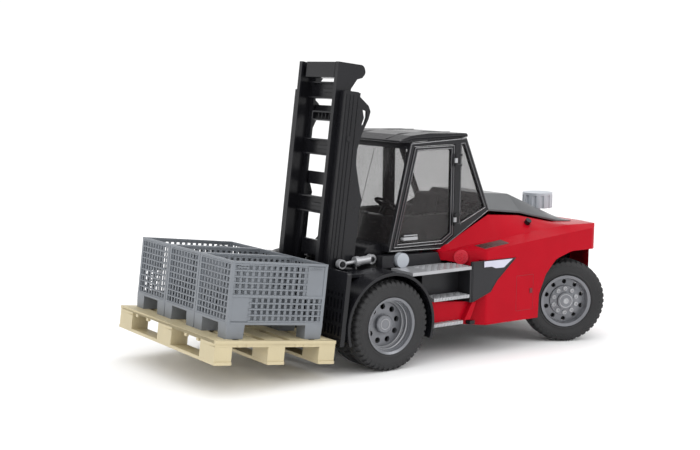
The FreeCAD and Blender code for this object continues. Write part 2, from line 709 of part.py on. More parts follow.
def steered(thing, side):
    """Place a piece drawn at a kingpin, turned to the rest angle; the right one faces -X."""
    sign = 1 if side == "left" else -1
    angle = -v("steer_rest") + (0 if sign > 0 else 180)
    spot = Vector(sign * v("kingpin_x"), v("axle_y") + v("kingpin_y"), v("wheel_r"))
    thing.Placement = Placement(spot, Rotation(Vector(0, 0, 1), angle))


def knuckle(side):
    """An eye on the kingpin, a stub axle for the wheel and an arm for the tie rod."""
    back = 1 if side == "left" else -1
    arm_end = back * v("steer_arm")
    eye = rod("eye_" + side, 5, (0, 0, -4), (0, 0, 4))
    stub = rod("stub_" + side, "shaft_r", (3, 0, 0), (11.4, 0, 0))
    arm = slab("arm_" + side, -2.2, 2.2, min(0, arm_end), max(0, arm_end), 1, 4)
    tip = rod("arm_tip_" + side, 2.2, (0, arm_end, 1), (0, arm_end, 4))
    whole = fuse("knuckle_joined_" + side, eye, stub, arm, tip)
    kingpin_bore = rod("kingpin_bore_" + side, 2.06, (0, 0, -6), (0, 0, 6))
    arm_bore = rod("arm_bore_" + side, 1.28, (0, arm_end, -1), (0, arm_end, 5))
    piece = cut("knuckle_cut_" + side, whole, kingpin_bore, arm_bore)
    steered(piece, side)
    node(piece, "knuckle_" + side)


def rear_axle():
    """A beam with forked ends that hold the kingpins."""
    x, y, z = v("kingpin_x"), v("kingpin_y"), v("wheel_r")
    beam = slab("beam", -50, 50, y - 4, y + 4, z - 4, z + 4)

    def fork_end(name):
        block = slab(name + "_block", 50, 54, y - 4.4, y + 4.4, z - 7.6, z + 7.6)
        ears = []
        for low, high in ((4.6, 7.6), (-7.6, -4.6)):
            ears.append(slab(name + "_ear", 54, "kingpin_x", y - 4.4, y + 4.4, z + low, z + high))
            ears.append(rod(name + "_ear_end", 4.4, (x, y, z + low), (x, y, z + high)))
        pin = rod(name + "_pin", 2, (x, y, z - 7.6), (x, y, z + 7.6))
        return fuse(name, block, *ears, pin)
    in_axle_frame(fuse("beam_joined", beam, *both_sides("fork_end", fork_end)), "rear_axle")


def arm_offset():
    """From a kingpin to its arm's pin, at the rest steering angle."""
    turn = math.radians(v("steer_rest"))
    return v("steer_arm") * math.sin(turn), v("steer_arm") * math.cos(turn)


def tie_rod():
    dx, dy = arm_offset()
    y, z = v("kingpin_y") + dy, v("wheel_r")
    bar = slab("bar", -v("kingpin_x") + dx, v("kingpin_x") + dx, y - 2, y + 2, z - 2.6, z + 0.6)
    knob_end = v("knob_y") + dy
    tab = slab("bar_tab", dx - 2.5, dx + 2.5, y + 2, knob_end, z - 2.6, z + 0.6)
    tab_end = rod("tab_end", 2.5, (dx, knob_end, z - 2.6), (dx, knob_end, z + 0.6))
    posts = [(v("kingpin_x") + dx, y), (-v("kingpin_x") + dx, y), (dx, knob_end)]
    pins = [rod("bar_pin", 1.2, (px, py, z - 2.6), (px, py, z + 4)) for px, py in posts]
    ends = [rod("bar_end", 2, (px, py, z - 2.6), (px, py, z + 0.6)) for px, py in posts[:2]]
    in_axle_frame(fuse("bar_joined", bar, tab, tab_end, *ends, *pins), "tie_rod")


def steering_knob():
    """The fluted knob on the counterweight, its long stem and the crank at its foot."""
    head = new_body("knob_head")
    pad(head, "XY", 106, 119.6, circle(0, 0, 13.4))
    grips = [circle(14.3 * math.cos(a), 14.3 * math.sin(a), 2.2)
             for a in (2 * math.pi * k / 12 for k in range(12))]
    pocket(head, "XY", 106, 117.4, *grips)
    stem = rod("knob_stem", "shaft_r", (0, 0, 36), (0, 0, 106))
    dx, dy = arm_offset()
    crank = slab("knob_crank", -2.4, 2.4, 0, v("steer_arm"), 36, 39)
    crank_end = rod("crank_end", 2.4, (0, v("steer_arm"), 36), (0, v("steer_arm"), 39))
    boss = rod("crank_boss", 4.4, (0, 0, 36), (0, 0, 39))
    whole = fuse("knob_joined", head, stem, crank, crank_end, boss)
    hole = rod("crank_hole", 1.28, (0, v("steer_arm"), 30), (0, v("steer_arm"), 42))
    knob = cut("knob_cut", whole, hole)
    spot = Vector(0, v("axle_y") + v("knob_y"), 0)
    knob.Placement = Placement(spot, Rotation(Vector(0, 0, 1), -v("steer_rest")))
    node(knob, "steering_knob")


def tilt_knob():
    """The round knob in the left side cover, on a short shaft."""
    dial = rod("dial", 5.8, (47.4, *TILT_KNOB), (52.6, *TILT_KNOB))
    shaft = rod("dial_shaft", 2, (37, *TILT_KNOB), (47.4, *TILT_KNOB))
    in_axle_frame(fuse("dial_joined", dial, shaft), "tilt_knob")


# ---- mast, forks and load --------------------------------------------------------------

def tilt_cylinder(side):
    """A barrel pivoting on the cowl and a rod whose eye sits loosely on the mast's pin."""
    x = v("tilt_x") if side == "left" else -v("tilt_x")
    pin = mast_point(*TILT_PIN)
    back, front = Vector(x, *TILT_PIVOT), Vector(x, *pin)
    along = (front - back).normalize()
    eye = rod("barrel_eye_" + side, 3.8, (x - 2.2,) + TILT_PIVOT, (x + 2.2,) + TILT_PIVOT)
    tube = rod("barrel_tube_" + side, 3.2, back + along * 1.5, back + along * 15)
    collar = rod("barrel_collar_" + side, 4, back + along * 12, back + along * 15.6)
    whole = fuse("barrel_joined_" + side, eye, tube, collar)
    bore = rod("barrel_bore_" + side, 2.06, (x - 6,) + TILT_PIVOT, (x + 6,) + TILT_PIVOT)
    well = rod("barrel_well_" + side, 1.46, back + along * 4, back + along * 30)
    in_axle_frame(cut("barrel_" + side, whole, bore, well), "tilt_barrel_" + side)
    stem = rod("rod_stem_" + side, 1.4, front, back + along * 4.4)
    ring = rod("rod_eye_" + side, 3.6, (x - 2.2,) + pin, (x + 2.2,) + pin)
    ring_bore = rod("rod_bore_" + side, 2.5, (x - 6,) + pin, (x + 6,) + pin)
    joined = fuse("rod_joined_" + side, stem, ring)
    in_axle_frame(cut("rod_" + side, joined, ring_bore), "tilt_rod_" + side)


def outer_channel(side):
    """One outer mast rail: a channel open to the middle, its foot and its rear bracket."""
    x, wall, top = v("outer_x"), v("channel_wall"), v("outer_top")
    rail = prism("outer_rail_" + side, "XY", 20, "outer_top", [
        (x, 14), (x, 27.5), (27.9, 27.5), (27.9, 27.5 - wall), (x - wall, 27.5 - wall),
        (x - wall, 14 + wall), (27.9, 14 + wall), (27.9, 14)])
    foot = prism("outer_foot_" + side, "YZ", 28, x, [
        (15, 7.4, 5), (28.6, 7.4, 5), (28.6, 20), (14, 20)])
    bore = v("shaft_r") + v("running")
    pocket(foot, "YZ", 28, x, circle(v("pivot_y"), v("pivot_z"), bore))
    bracket = prism("outer_bracket_" + side, "YZ", x - wall, x, [
        (27.5, 199), (36.4, 193, 2), (38.7, 188.8, 2), (37.6, 183, 3), (33, 171.8, 6), (29.8, 158.6, 6),
        (30.2, 147, 8), (36.3, 127.5, 8), (39.3, 120.4, 2), (38, 113.6, 2), (38, 60, 4), (27.5, 52)])
    pocket(bracket, "YZ", x - wall, x, [
        (31, 189.6), (35, 189, 1), (35.4, 184, 1), (34, 178.4, 1), (31.2, 177), (33, 183.4)])
    pin = rod("outer_pin_" + side, 2, (x - wall,) + TILT_PIN, (44.4,) + TILT_PIN)
    whole = fuse("outer_joined_" + side, rail, foot, bracket, pin)
    if side == "right":
        whole = mirrored(whole, "outer_mirror")
    in_mast_frame(whole, "outer_channel_" + side)


def outer_crossbars():
    bars = [slab("outer_bar", -27.9, 27.9, 24.8, 27.5, low, high)
            for low, high in ((181.5, 191), (128, 138), (72, 84))]
    in_mast_frame(group("outer_bars", *bars), "outer_crossbars")


def inner_channel(side):
    """One inner mast rail, with the arm that reaches back over the outer mast."""
    x, wall = v("inner_x"), v("channel_wall")
    rail = prism("inner_rail_" + side, "XY", 6, "inner_top", [
        (x, 10), (x, 24), (20, 24), (20, 24 - wall), (x - wall, 24 - wall),
        (x - wall, 10 + wall), (23.5, 10 + wall), (23.5, 10)])
    arm = prism("inner_arm_" + side, "YZ", 20, x, [
        (24, 224), (34, 224, 4), (36.6, 218, 4), (33.5, 214, 1), (29, 212.5), (24, 204.5)])
    whole = fuse("inner_joined_" + side, rail, arm)
    if side == "right":
        whole = mirrored(whole, "inner_mirror")
    in_mast_frame(whole, "inner_channel_" + side)


def inner_crossbars():
    bars = [slab("inner_bar", -20, 20, 21, 24, low, high)
            for low, high in ((195.8, 209), (151.4, 164.2), (106, 119), (20, 34))]
    crosshead = slab("crosshead", -20, 20, 12, 24, 212, 224)
    in_mast_frame(group("inner_bars", *bars, crosshead), "inner_crossbars")


def carriage():
    """The wide fork carriage, a slotted plate."""
    half = v("carriage_half")
    plate = prism("carriage_plate", "XZ", 4.2, 8, box_corners(-half, 12, half, 67.6, 2))
    slots = []
    for sign in (1, -1):
        for column in range(6):
            for low, high in ((20, 27), (30, 37), (40, 47), (49.4, 52)):
                middle = sign * (half - 4 - 4.5 * column)
                slots.append(box_corners(middle - 1.1, low, middle + 1.1, high))
    window = box_corners(-15, 24, 15, 58, 2)
    pocket(plate, "XZ", 4.2, 8, window, *slots)
    in_mast_frame(plate, "carriage")


def carriage_rollers():
    """The two plates on the back of the carriage, with the rollers that run in the inner mast."""
    def one(name):
        web = slab(name + "_web", 16.4, 19.6, 8, 20.4, 20, 66)
        rollers = [rod(name + "_roller", 4.7, (20.6, 17, z), (25, 17, z)) for z in (28, 58)]
        hubs = [rod(name + "_hub", 3, (19.6, 17, z), (20.6, 17, z)) for z in (28, 58)]
        return fuse(name, web, *rollers, *hubs)
    in_mast_frame(group("roller_plates", *both_sides("roller_plate", one)), "carriage_rollers")


def fork(side):
    sign = 1 if side == "left" else -1
    x = sign * v("fork_x")
    half = v("fork_wide") / 2
    low = 14.9 - 4.6
    reach = v("fork_long")
    blade = prism("fork_blade_" + side, "YZ", x - half, x + half, [
        (-reach, 14.9, 0.6), (0.4, 14.9), (0.4, 70.6), (7.9, 70.6), (7.9, 67.9), (3.9, 67.9),
        (3.9, low, 3), (-30, low), (-reach, 12.9, 0.6)])
    in_mast_frame(blade, "fork_" + side)


def pallet():
    wide, long, high, board = v("pallet_wide") / 2, v("pallet_long"), v("pallet_high"), v("board")
    deck_wide, deck_count, edge_wide = 15.6, 5, 4
    gap = (long - deck_count * deck_wide) / (deck_count - 1)
    pieces = []
    for k in range(deck_count):
        start = -long + k * (deck_wide + gap)
        pieces.append(slab("deck_board", edge_wide - wide, wide - edge_wide, start,
                           start + deck_wide, high - board, high))
    for low in (-wide, wide - edge_wide):
        pieces.append(slab("edge_strip", low, low + edge_wide, -long, 0, high - board, high))
    for low, top in ((-wide + 0.8, -wide + 22), (-11, 11), (wide - 22, wide - 0.8)):
        pieces.append(slab("bearer", low, top, -long, 0, high - 2 * board, high - board))
        for start in (-long, -long / 2 - 7, -14):
            pieces.append(slab("block", low, top, start, start + 14, board, high - 2 * board))
    for start in (-long, -long / 2 - 7, -14):
        pieces.append(slab("bottom_board", -wide, wide, start, start + 14, 0, board))
    in_mast_frame(group("pallet_group", *pieces), "pallet")


def mesh_box(number):
    """An open box of four walls and a floor on four feet."""
    x = (number - 2) * v("box_pitch")
    half, wall = v("box_wide") / 2, v("box_wall")
    front = -v("pallet_long") + 10.3
    back = front + v("box_long")
    base = v("pallet_high")
    floor, top = base + v("box_foot"), base + v("box_high")
    pieces = [slab("box_floor", x - half, x + half, front, back, floor, floor + wall)]
    for low, high in ((x - half, x - half + wall), (x + half - wall, x + half)):
        pieces.append(slab("box_side", low, high, front, back, floor + wall, top))
    for low, high in ((front, front + wall), (back - wall, back)):
        pieces.append(slab("box_end", x - half + wall, x + half - wall, low, high,
                           floor + wall, top))
    for low in (x - half, x + half - 12):
        for start in (front, back - 15):
            pieces.append(slab("box_foot_block", low, low + 12, start, start + 15,
                               base, floor))
    in_mast_frame(group(f"mesh_box_group_{number}", *pieces), f"mesh_box_{number}")


def build():
    chassis_frame()
    front_axle()
    mast_pins()
    body_shell()
    side_panels()
    lamp_inserts()
    vent_grilles()
    nose_caps()
    shelf_knobs()
    steps()
    cowl()
    hood()
    cab_frame()
    cab_glazing()
    roof()
    dashboard()
    steering_wheel()
    seat()
    rear_axle()
    tie_rod()
    steering_knob()
    tilt_knob()
    outer_crossbars()
    inner_crossbars()
    carriage()
    carriage_rollers()
    pallet()
    for number in (1, 2, 3):
        mesh_box(number)
    for side in ("left", "right"):
        fender(side)
        side_cover(side)
        door(side)
        front_wheel(side)
        rear_wheel(side)
        knuckle(side)
        tilt_cylinder(side)
        outer_channel(side)
        inner_channel(side)
        fork(side)


def trim(label, *others):
    """Cut what other pieces occupy out of one piece, so that they touch and share nothing."""
    found = {thing.Label: thing for thing in NODES}
    whole = found[label]
    whole.Label = label + "_untrimmed"
    trimmed = cut(label + "_trim", whole, *[found[other] for other in others])
    trimmed.Label = label
    NODES[NODES.index(whole)] = trimmed


def trim_all():
    trim("body_shell", "chassis_frame", "hood", "fender_left", "fender_right", "vent_grilles",
         "side_cover_left", "side_cover_right")
    trim("nose_caps", "body_shell")
    trim("side_panels", "body_shell")
    trim("cowl", "cab_frame")
    for side in ("left", "right"):
        trim("front_tyres_" + side, "front_rim_" + side)
        trim("rear_tyre_" + side, "rear_rim_" + side)


def check_and_write():
    doc.recompute()
    for thing in doc.Objects:
        if "Invalid" in thing.State or "Error" in thing.State:
            raise RuntimeError(f"{thing.Name} failed: {thing.State}")
    os.makedirs("parts", exist_ok=True)
    whole = FreeCAD.BoundBox()
    for thing in NODES:
        shape = thing.Shape
        if shape.isNull() or not shape.isValid():
            raise RuntimeError(f"{thing.Label} has no valid shape")
        shape.exportStep(f"parts/{thing.Label}.step")
        whole.add(shape.BoundBox)
        print(f"{thing.Label}: {len(shape.Solids)} solids, {shape.Volume:.0f} mm3")
    print("nodes", len(NODES), "box", whole)


build()
trim_all()
check_and_write()
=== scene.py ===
import json
import math

import bmesh
import bpy
from mathutils import Matrix, Vector


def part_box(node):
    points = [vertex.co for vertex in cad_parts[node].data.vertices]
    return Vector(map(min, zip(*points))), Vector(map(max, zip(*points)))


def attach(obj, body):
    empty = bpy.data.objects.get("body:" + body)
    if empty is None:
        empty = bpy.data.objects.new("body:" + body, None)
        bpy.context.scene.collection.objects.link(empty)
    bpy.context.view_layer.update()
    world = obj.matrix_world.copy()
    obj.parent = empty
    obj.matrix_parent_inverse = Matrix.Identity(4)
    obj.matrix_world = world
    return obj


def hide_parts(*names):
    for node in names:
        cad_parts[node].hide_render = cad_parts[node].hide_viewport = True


# A toy forklift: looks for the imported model. Left is +X, forward is -Y, up is +Z, metres.
# Local frames below are in millimetres: the axle frame stands on the ground under the front
# axle, the mast frame starts at the pallet's lower rear edge and leans back with the mast.

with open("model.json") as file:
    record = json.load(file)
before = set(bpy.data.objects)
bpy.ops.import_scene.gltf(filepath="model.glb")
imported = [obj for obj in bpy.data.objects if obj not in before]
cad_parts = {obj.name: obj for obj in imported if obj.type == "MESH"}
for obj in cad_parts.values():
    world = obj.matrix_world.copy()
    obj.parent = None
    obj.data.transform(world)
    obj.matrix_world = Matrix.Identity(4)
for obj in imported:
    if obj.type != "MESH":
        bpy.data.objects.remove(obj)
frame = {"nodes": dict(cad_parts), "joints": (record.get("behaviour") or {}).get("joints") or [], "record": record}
NODES = frame["nodes"]
JOINTS = {joint["name"]: joint for joint in frame["joints"]}
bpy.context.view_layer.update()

MM = 0.001
SHADE_ANGLE = math.radians(32)
BEVEL_ANGLE = math.radians(30)
ON_AXIS = 0.0001                    # a radius that closes a turned outline


# ---- where things are ------------------------------------------------------------------

def middle(node):
    """The middle of a CAD node's box."""
    low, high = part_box(node)
    return (low + high) / 2


AXLE_Y = middle("front_rim_left").y
WHEEL_R = middle("front_rim_left").z
LIFT_AXIS = Vector(JOINTS["mast_lift"]["axis"])
MAST_LEAN = math.atan2(LIFT_AXIS.y, LIFT_AXIS.z)
PALLET_LOW, PALLET_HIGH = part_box("pallet")

AXLE_FRAME = Matrix.Translation((0, AXLE_Y, 0)) @ Matrix.Scale(MM, 4)


def mast_frame():
    """The mast frame: its origin is the pallet's lower rear edge."""
    turn = Matrix.Rotation(-MAST_LEAN, 4, "X")
    back = turn.inverted() @ Vector((0, PALLET_HIGH.y, PALLET_LOW.z))
    corners = [turn.inverted() @ v.co for v in NODES["pallet"].data.vertices]
    rear = max(c.y for c in corners)
    base = min(c.z for c in corners)
    return Matrix.Translation(turn @ Vector((0, rear, base))) @ turn @ Matrix.Scale(MM, 4)


MAST_FRAME = mast_frame()


# ---- materials -------------------------------------------------------------------------

def node_material(name, colour, rough, **more):
    """A moulded plastic: colour that drifts a little, fine grain in roughness and relief."""
    material = bpy.data.materials.new(name)
    material.use_nodes = True
    tree = material.node_tree
    shader = tree.nodes["Principled BSDF"]
    nodes, links = tree.nodes, tree.links
    shader.inputs["Metallic"].default_value = more.get("metallic", 0.0)
    shader.inputs["Specular IOR Level"].default_value = more.get("specular", 0.5)
    shader.inputs["Coat Weight"].default_value = more.get("coat", 0.0)
    shader.inputs["Coat Roughness"].default_value = 0.1
    place = nodes.new("ShaderNodeTexCoord")

    cloud = nodes.new("ShaderNodeTexNoise")
    cloud.inputs["Scale"].default_value = 40
    cloud.inputs["Detail"].default_value = 3
    links.new(place.outputs["Object"], cloud.inputs["Vector"])
    tint = nodes.new("ShaderNodeValToRGB")
    drift = more.get("drift", 0.1)
    tint.color_ramp.elements[0].position = 0.3
    tint.color_ramp.elements[1].position = 0.7
    tint.color_ramp.elements[0].color = [c * (1 - drift) for c in colour] + [1]
    tint.color_ramp.elements[1].color = [min(1, c * (1 + drift)) for c in colour] + [1]
    links.new(cloud.outputs["Fac"], tint.inputs["Fac"])
    links.new(tint.outputs["Color"], shader.inputs["Base Color"])

    grain = nodes.new("ShaderNodeTexNoise")
    grain.inputs["Scale"].default_value = more.get("grain", 1500)
    grain.inputs["Detail"].default_value = 2
    links.new(place.outputs["Object"], grain.inputs["Vector"])
    gloss = nodes.new("ShaderNodeMapRange")
    gloss.inputs["To Min"].default_value = rough * 0.85
    gloss.inputs["To Max"].default_value = rough * 1.15
    links.new(grain.outputs["Fac"], gloss.inputs["Value"])
    links.new(gloss.outputs["Result"], shader.inputs["Roughness"])
    bump = nodes.new("ShaderNodeBump")
    bump.inputs["Strength"].default_value = more.get("bump", 0.1)
    bump.inputs["Distance"].default_value = more.get("relief", 0.0001)
    links.new(grain.outputs["Fac"], bump.inputs["Height"])
    links.new(bump.outputs["Normal"], shader.inputs["Normal"])
    return material


def grained_pallet():
    """Wood-coloured plastic with moulded grain lines along the boards."""
    material = node_material("pallet_plastic", (0.53, 0.455, 0.285), 0.42, drift=0.05, bump=0.12)
    nodes, links = material.node_tree.nodes, material.node_tree.links
    wave = nodes.new("ShaderNodeTexWave")
    wave.bands_direction = "Y"
    wave.inputs["Scale"].default_value = 260
    wave.inputs["Distortion"].default_value = 5
    wave.inputs["Detail"].default_value = 3
    wave.inputs["Detail Scale"].default_value = 0.6
    stretch = nodes.new("ShaderNodeMapping")
    stretch.inputs["Scale"].default_value = (0.08, 1, 0.6)
    place = [n for n in nodes if n.type == "TEX_COORD"][0]
    links.new(place.outputs["Object"], stretch.inputs["Vector"])
    links.new(stretch.outputs["Vector"], wave.inputs["Vector"])
    bump = [n for n in nodes if n.type == "BUMP"][0]
    lines = nodes.new("ShaderNodeBump")
    lines.inputs["Strength"].default_value = 0.25
    lines.inputs["Distance"].default_value = 0.0002
    links.new(wave.outputs["Fac"], lines.inputs["Height"])
    links.new(bump.outputs["Normal"], lines.inputs["Normal"])
    shader = nodes["Principled BSDF"]
    links.new(lines.outputs["Normal"], shader.inputs["Normal"])
    return material


def smoky_glass():
    """Thin grey-brown clear plastic, lightly clouded."""
    material = bpy.data.materials.new("glazing")
    material.use_nodes = True
    nodes, links = material.node_tree.nodes, material.node_tree.links
    shader = nodes["Principled BSDF"]
    shader.inputs["Base Color"].default_value = (0.05, 0.045, 0.045, 1)
    shader.inputs["Roughness"].default_value = 0.04
    cloud = nodes.new("ShaderNodeTexNoise")
    cloud.inputs["Scale"].default_value = 60
    place = nodes.new("ShaderNodeTexCoord")
    links.new(place.outputs["Object"], cloud.inputs["Vector"])
    veil = nodes.new("ShaderNodeMapRange")
    veil.inputs["To Min"].default_value = 0.24
    veil.inputs["To Max"].default_value = 0.27
    links.new(cloud.outputs["Fac"], veil.inputs["Value"])
    links.new(veil.outputs["Result"], shader.inputs["Alpha"])
    return material


MATERIALS = {
    "red_plastic": node_material("red_plastic", (0.385, 0.003, 0.012), 0.26, specular=0.07,
                                 drift=0.05, bump=0.03),
    "cap_plastic": node_material("cap_plastic", (0.50, 0.014, 0.03), 0.35, specular=0.3, bump=0.1),
    "black_plastic": node_material("black_plastic", (0.009, 0.009, 0.011), 0.26, specular=0.3,
                                   bump=0.08),
    # Black plastic painted lighter: a painted highlight along the cab's raised edges and on the hinge plates.
    "painted_highlight_plastic": node_material("painted_highlight_plastic", (0.045, 0.045, 0.05), 0.16, specular=0.8, coat=0.5,
                                  bump=0.02),
    "dark_plastic": node_material("dark_plastic", (0.0155, 0.0155, 0.018), 0.36, specular=0.3,
                                  bump=0.16),
    "hood_plastic": node_material("hood_plastic", (0.072, 0.076, 0.080), 0.3, coat=0.15, bump=0.14),
    "silver_plastic": node_material("silver_plastic", (0.37, 0.375, 0.39), 0.32, metallic=0.3,
                                    coat=0.1, bump=0.06),
    "rim_plastic": node_material("rim_plastic", (0.175, 0.18, 0.195), 0.3, metallic=0.35, bump=0.06),
    "steel": node_material("steel", (0.45, 0.46, 0.48), 0.25, metallic=0.9, bump=0.05),
    "glazing": smoky_glass(),
    "lamp_plastic": node_material("lamp_plastic", (0.50, 0.50, 0.60), 0.2, coat=0.5, drift=0.05),
    "grille_plastic": node_material("grille_plastic", (0.05, 0.025, 0.022), 0.5, bump=0.2),
    "knob_plastic": node_material("knob_plastic", (0.46, 0.49, 0.53), 0.36, metallic=0.1, bump=0.08),
    "tyre": node_material("tyre", (0.020, 0.020, 0.021), 0.6, drift=0.2, bump=0.3,
                          relief=0.0002, specular=0.35),
    "pallet_plastic": grained_pallet(),
    "box_plastic": node_material("box_plastic", (0.175, 0.19, 0.21), 0.38, drift=0.07, bump=0.1),
    "seat_fabric": node_material("seat_fabric", (0.010, 0.010, 0.010), 0.75, grain=2600, bump=0.5,
                                 relief=0.0002),
    "seam": node_material("seam", (0.12, 0.004, 0.008), 0.5, bump=0.02),
}


def paint(thing, slot, look=None):
    """Give a piece its material: the given look, else the material of the record's slot that it stands for."""
    thing.data.materials.clear()
    thing.data.materials.append(MATERIALS[look or slot])


# ---- mesh helpers ----------------------------------------------------------------------

def finish_mesh(thing, bevel=0.0, segments=2, weld=True):
    """Round the edges a little and shade what is nearly flat as flat."""
    if weld:
        joiner = thing.modifiers.new("weld", "WELD")
        joiner.merge_threshold = 2e-6
    if bevel:
        edge = thing.modifiers.new("bevel", "BEVEL")
        edge.width = bevel * MM
        edge.segments = segments
        edge.limit_method = "ANGLE"
        edge.angle_limit = BEVEL_ANGLE
    thing.data.shade_smooth()
    smooth = thing.modifiers.new("normals", "WEIGHTED_NORMAL")
    smooth.keep_sharp = True
    smooth.weight = 60


def piece(name, mesh, place, body, slot, look=None, bevel=0.0, **finish):
    """Make an object from a bmesh drawn in a local frame, and let it ride on a body."""
    data = bpy.data.meshes.new(name)
    mesh.transform(place)
    if place.determinant() < 0:
        bmesh.ops.reverse_faces(mesh, faces=mesh.faces[:])
    mesh.to_mesh(data)
    mesh.free()
    thing = bpy.data.objects.new(name, data)
    bpy.context.scene.collection.objects.link(thing)
    sharp_edges(data)
    finish_mesh(thing, bevel, weld=False, **finish)
    paint(thing, slot, look)
    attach(thing, body)
    return thing


def sharp_edges(data):
    """Mark edges sharper than the shading angle, so that flat faces stay flat."""
    work = bmesh.new()
    work.from_mesh(data)
    for edge in work.edges:
        flat = len(edge.link_faces) == 2 and edge.calc_face_angle(0) < SHADE_ANGLE
        edge.smooth = flat
    work.to_mesh(data)
    work.free()


def block(mesh, x0, x1, y0, y1, z0, z1, turn=None):
    """Add a box between two corners, turned about its middle if asked."""
    size = Vector((abs(x1 - x0), abs(y1 - y0), abs(z1 - z0)))
    centre = Vector(((x0 + x1) / 2, (y0 + y1) / 2, (z0 + z1) / 2))
    place = Matrix.Translation(centre) @ (turn or Matrix.Identity(4)) @ Matrix.Diagonal((*size, 1))
    bmesh.ops.create_cube(mesh, size=1, matrix=place)


def bar(mesh, radius, start, stop, sides=16, end_radius=None):
    """Add a round bar between two points."""
    start, stop = Vector(start), Vector(stop)
    along = stop - start
    turn = Vector((0, 0, 1)).rotation_difference(along).to_matrix().to_4x4()
    place = Matrix.Translation((start + stop) / 2) @ turn
    bmesh.ops.create_cone(mesh, cap_ends=True, segments=sides, radius1=radius,
                          radius2=radius if end_radius is None else end_radius,
                          depth=along.length, matrix=place)


def lathe(mesh, outline, sides, place=Matrix.Identity(4)):
    """Turn a closed outline of (along X, radius) points about X."""
    rings = []
    for k in range(sides):
        angle = 2 * math.pi * k / sides
        ring = [mesh.verts.new(place @ Vector((x, r * math.cos(angle), r * math.sin(angle))))
                for x, r in outline]
        rings.append(ring)
    count = len(outline)
    for k in range(sides):
        here, there = rings[k], rings[(k + 1) % sides]
        for i in range(count):
            j = (i + 1) % count
            mesh.faces.new((here[i], here[j], there[j], there[i]))


def pierced_plate(mesh, origin, along, upward, through, columns, rows):
    """A flat plate with windows. columns and rows are lists of (start, stop, is window)."""
    edges_a = [columns[0][0]] + [c[1] for c in columns]
    edges_b = [rows[0][0]] + [r[1] for r in rows]

    def point(i, j, depth):
        return origin + along * edges_a[i] + upward * edges_b[j] + through * depth

    solid = [[not (c[2] and r[2]) for r in rows] for c in columns]
    verts = {}

    def vert(i, j, side):
        key = (i, j, side)
        if key not in verts:
            verts[key] = mesh.verts.new(point(i, j, side))
        return verts[key]

    def filled(i, j):
        return 0 <= i < len(columns) and 0 <= j < len(rows) and solid[i][j]

    for i in range(len(columns)):
        for j in range(len(rows)):
            if not solid[i][j]:
                continue
            ring = [(i, j), (i + 1, j), (i + 1, j + 1), (i, j + 1)]
            mesh.faces.new([vert(*p, 0) for p in ring])
            mesh.faces.new([vert(*p, 1) for p in reversed(ring)])
            beside = [(i, j - 1), (i + 1, j), (i, j + 1), (i - 1, j)]
            for k in range(4):
                if not filled(*beside[k]):
                    a, b = ring[k], ring[(k + 1) % 4]
                    mesh.faces.new((vert(*b, 0), vert(*a, 0), vert(*a, 1), vert(*b, 1)))


def windows(start, stop, count, wire):
    """Split a length into wires and windows: (start, stop, is window)."""
    parts = []
    pitch = (stop - start - wire) / count
    for k in range(count):
        parts.append((start + k * pitch, start + k * pitch + wire, False))
        parts.append((start + k * pitch + wire, start + (k + 1) * pitch, True))
    parts.append((stop - wire, stop, False))
    return parts


# ---- camera, light and floor -----------------------------------------------------------

def camera():
    """Seen from the front left, a little above the load."""
    azimuth, elevation, roll = math.radians(54.87), math.radians(7.26), math.radians(0.62)
    back = Vector((math.sin(azimuth) * math.cos(elevation),
                   -math.cos(azimuth) * math.cos(elevation), math.sin(elevation)))
    right = Vector((0, 0, 1)).cross(back).normalized()
    up = back.cross(right)
    right_rolled = right * math.cos(roll) + up * math.sin(roll)
    up_rolled = up * math.cos(roll) - right * math.sin(roll)
    turn = Matrix((right_rolled, up_rolled, back)).transposed()
    data = bpy.data.cameras.new("camera")
    data.sensor_width = 36
    data.lens = 64.0
    data.clip_start = 0.05
    data.clip_end = 60
    eye = bpy.data.objects.new("camera", data)
    eye.matrix_world = Matrix.Translation((0.81655, -0.60619, 0.23006)) @ turn.to_4x4()
    bpy.context.scene.collection.objects.link(eye)
    bpy.context.scene.camera = eye


def area_light(name, place, target, size, power):
    """A rectangular soft box aimed at a point."""
    data = bpy.data.lights.new(name, "AREA")
    data.shape = "RECTANGLE"
    data.size, data.size_y = size
    data.energy = power
    lamp = bpy.data.objects.new(name, data)
    lamp.location = place
    aim = Vector(target) - Vector(place)
    lamp.rotation_mode = "QUATERNION"
    lamp.rotation_quaternion = aim.to_track_quat("-Z", "Y")
    bpy.context.scene.collection.objects.link(lamp)


def sky(world):
    """White at the horizon, darker overhead, so that black plastic keeps its depth."""
    tree = world.node_tree
    background = tree.nodes["Background"]
    place = tree.nodes.new("ShaderNodeTexCoord")
    split = tree.nodes.new("ShaderNodeSeparateXYZ")
    ramp = tree.nodes.new("ShaderNodeValToRGB")
    ramp.color_ramp.elements[0].position = 0.12
    ramp.color_ramp.elements[0].color = (1, 1, 1, 1)
    ramp.color_ramp.elements[1].position = 0.3
    ramp.color_ramp.elements[1].color = (0.5, 0.5, 0.505, 1)
    tree.links.new(place.outputs["Generated"], split.inputs["Vector"])
    tree.links.new(split.outputs["Z"], ramp.inputs["Fac"])
    tree.links.new(ramp.outputs["Color"], background.inputs["Color"])
    background.inputs["Strength"].default_value = 1.06


def sun(place, spread, power):
    """A broad overhead light that reaches the whole floor evenly."""
    data = bpy.data.lights.new("sun", "SUN")
    data.energy = power
    data.angle = math.radians(spread)
    lamp = bpy.data.objects.new("sun", data)
    lamp.rotation_mode = "QUATERNION"
    lamp.rotation_quaternion = (-Vector(place)).to_track_quat("-Z", "Y")
    bpy.context.scene.collection.objects.link(lamp)


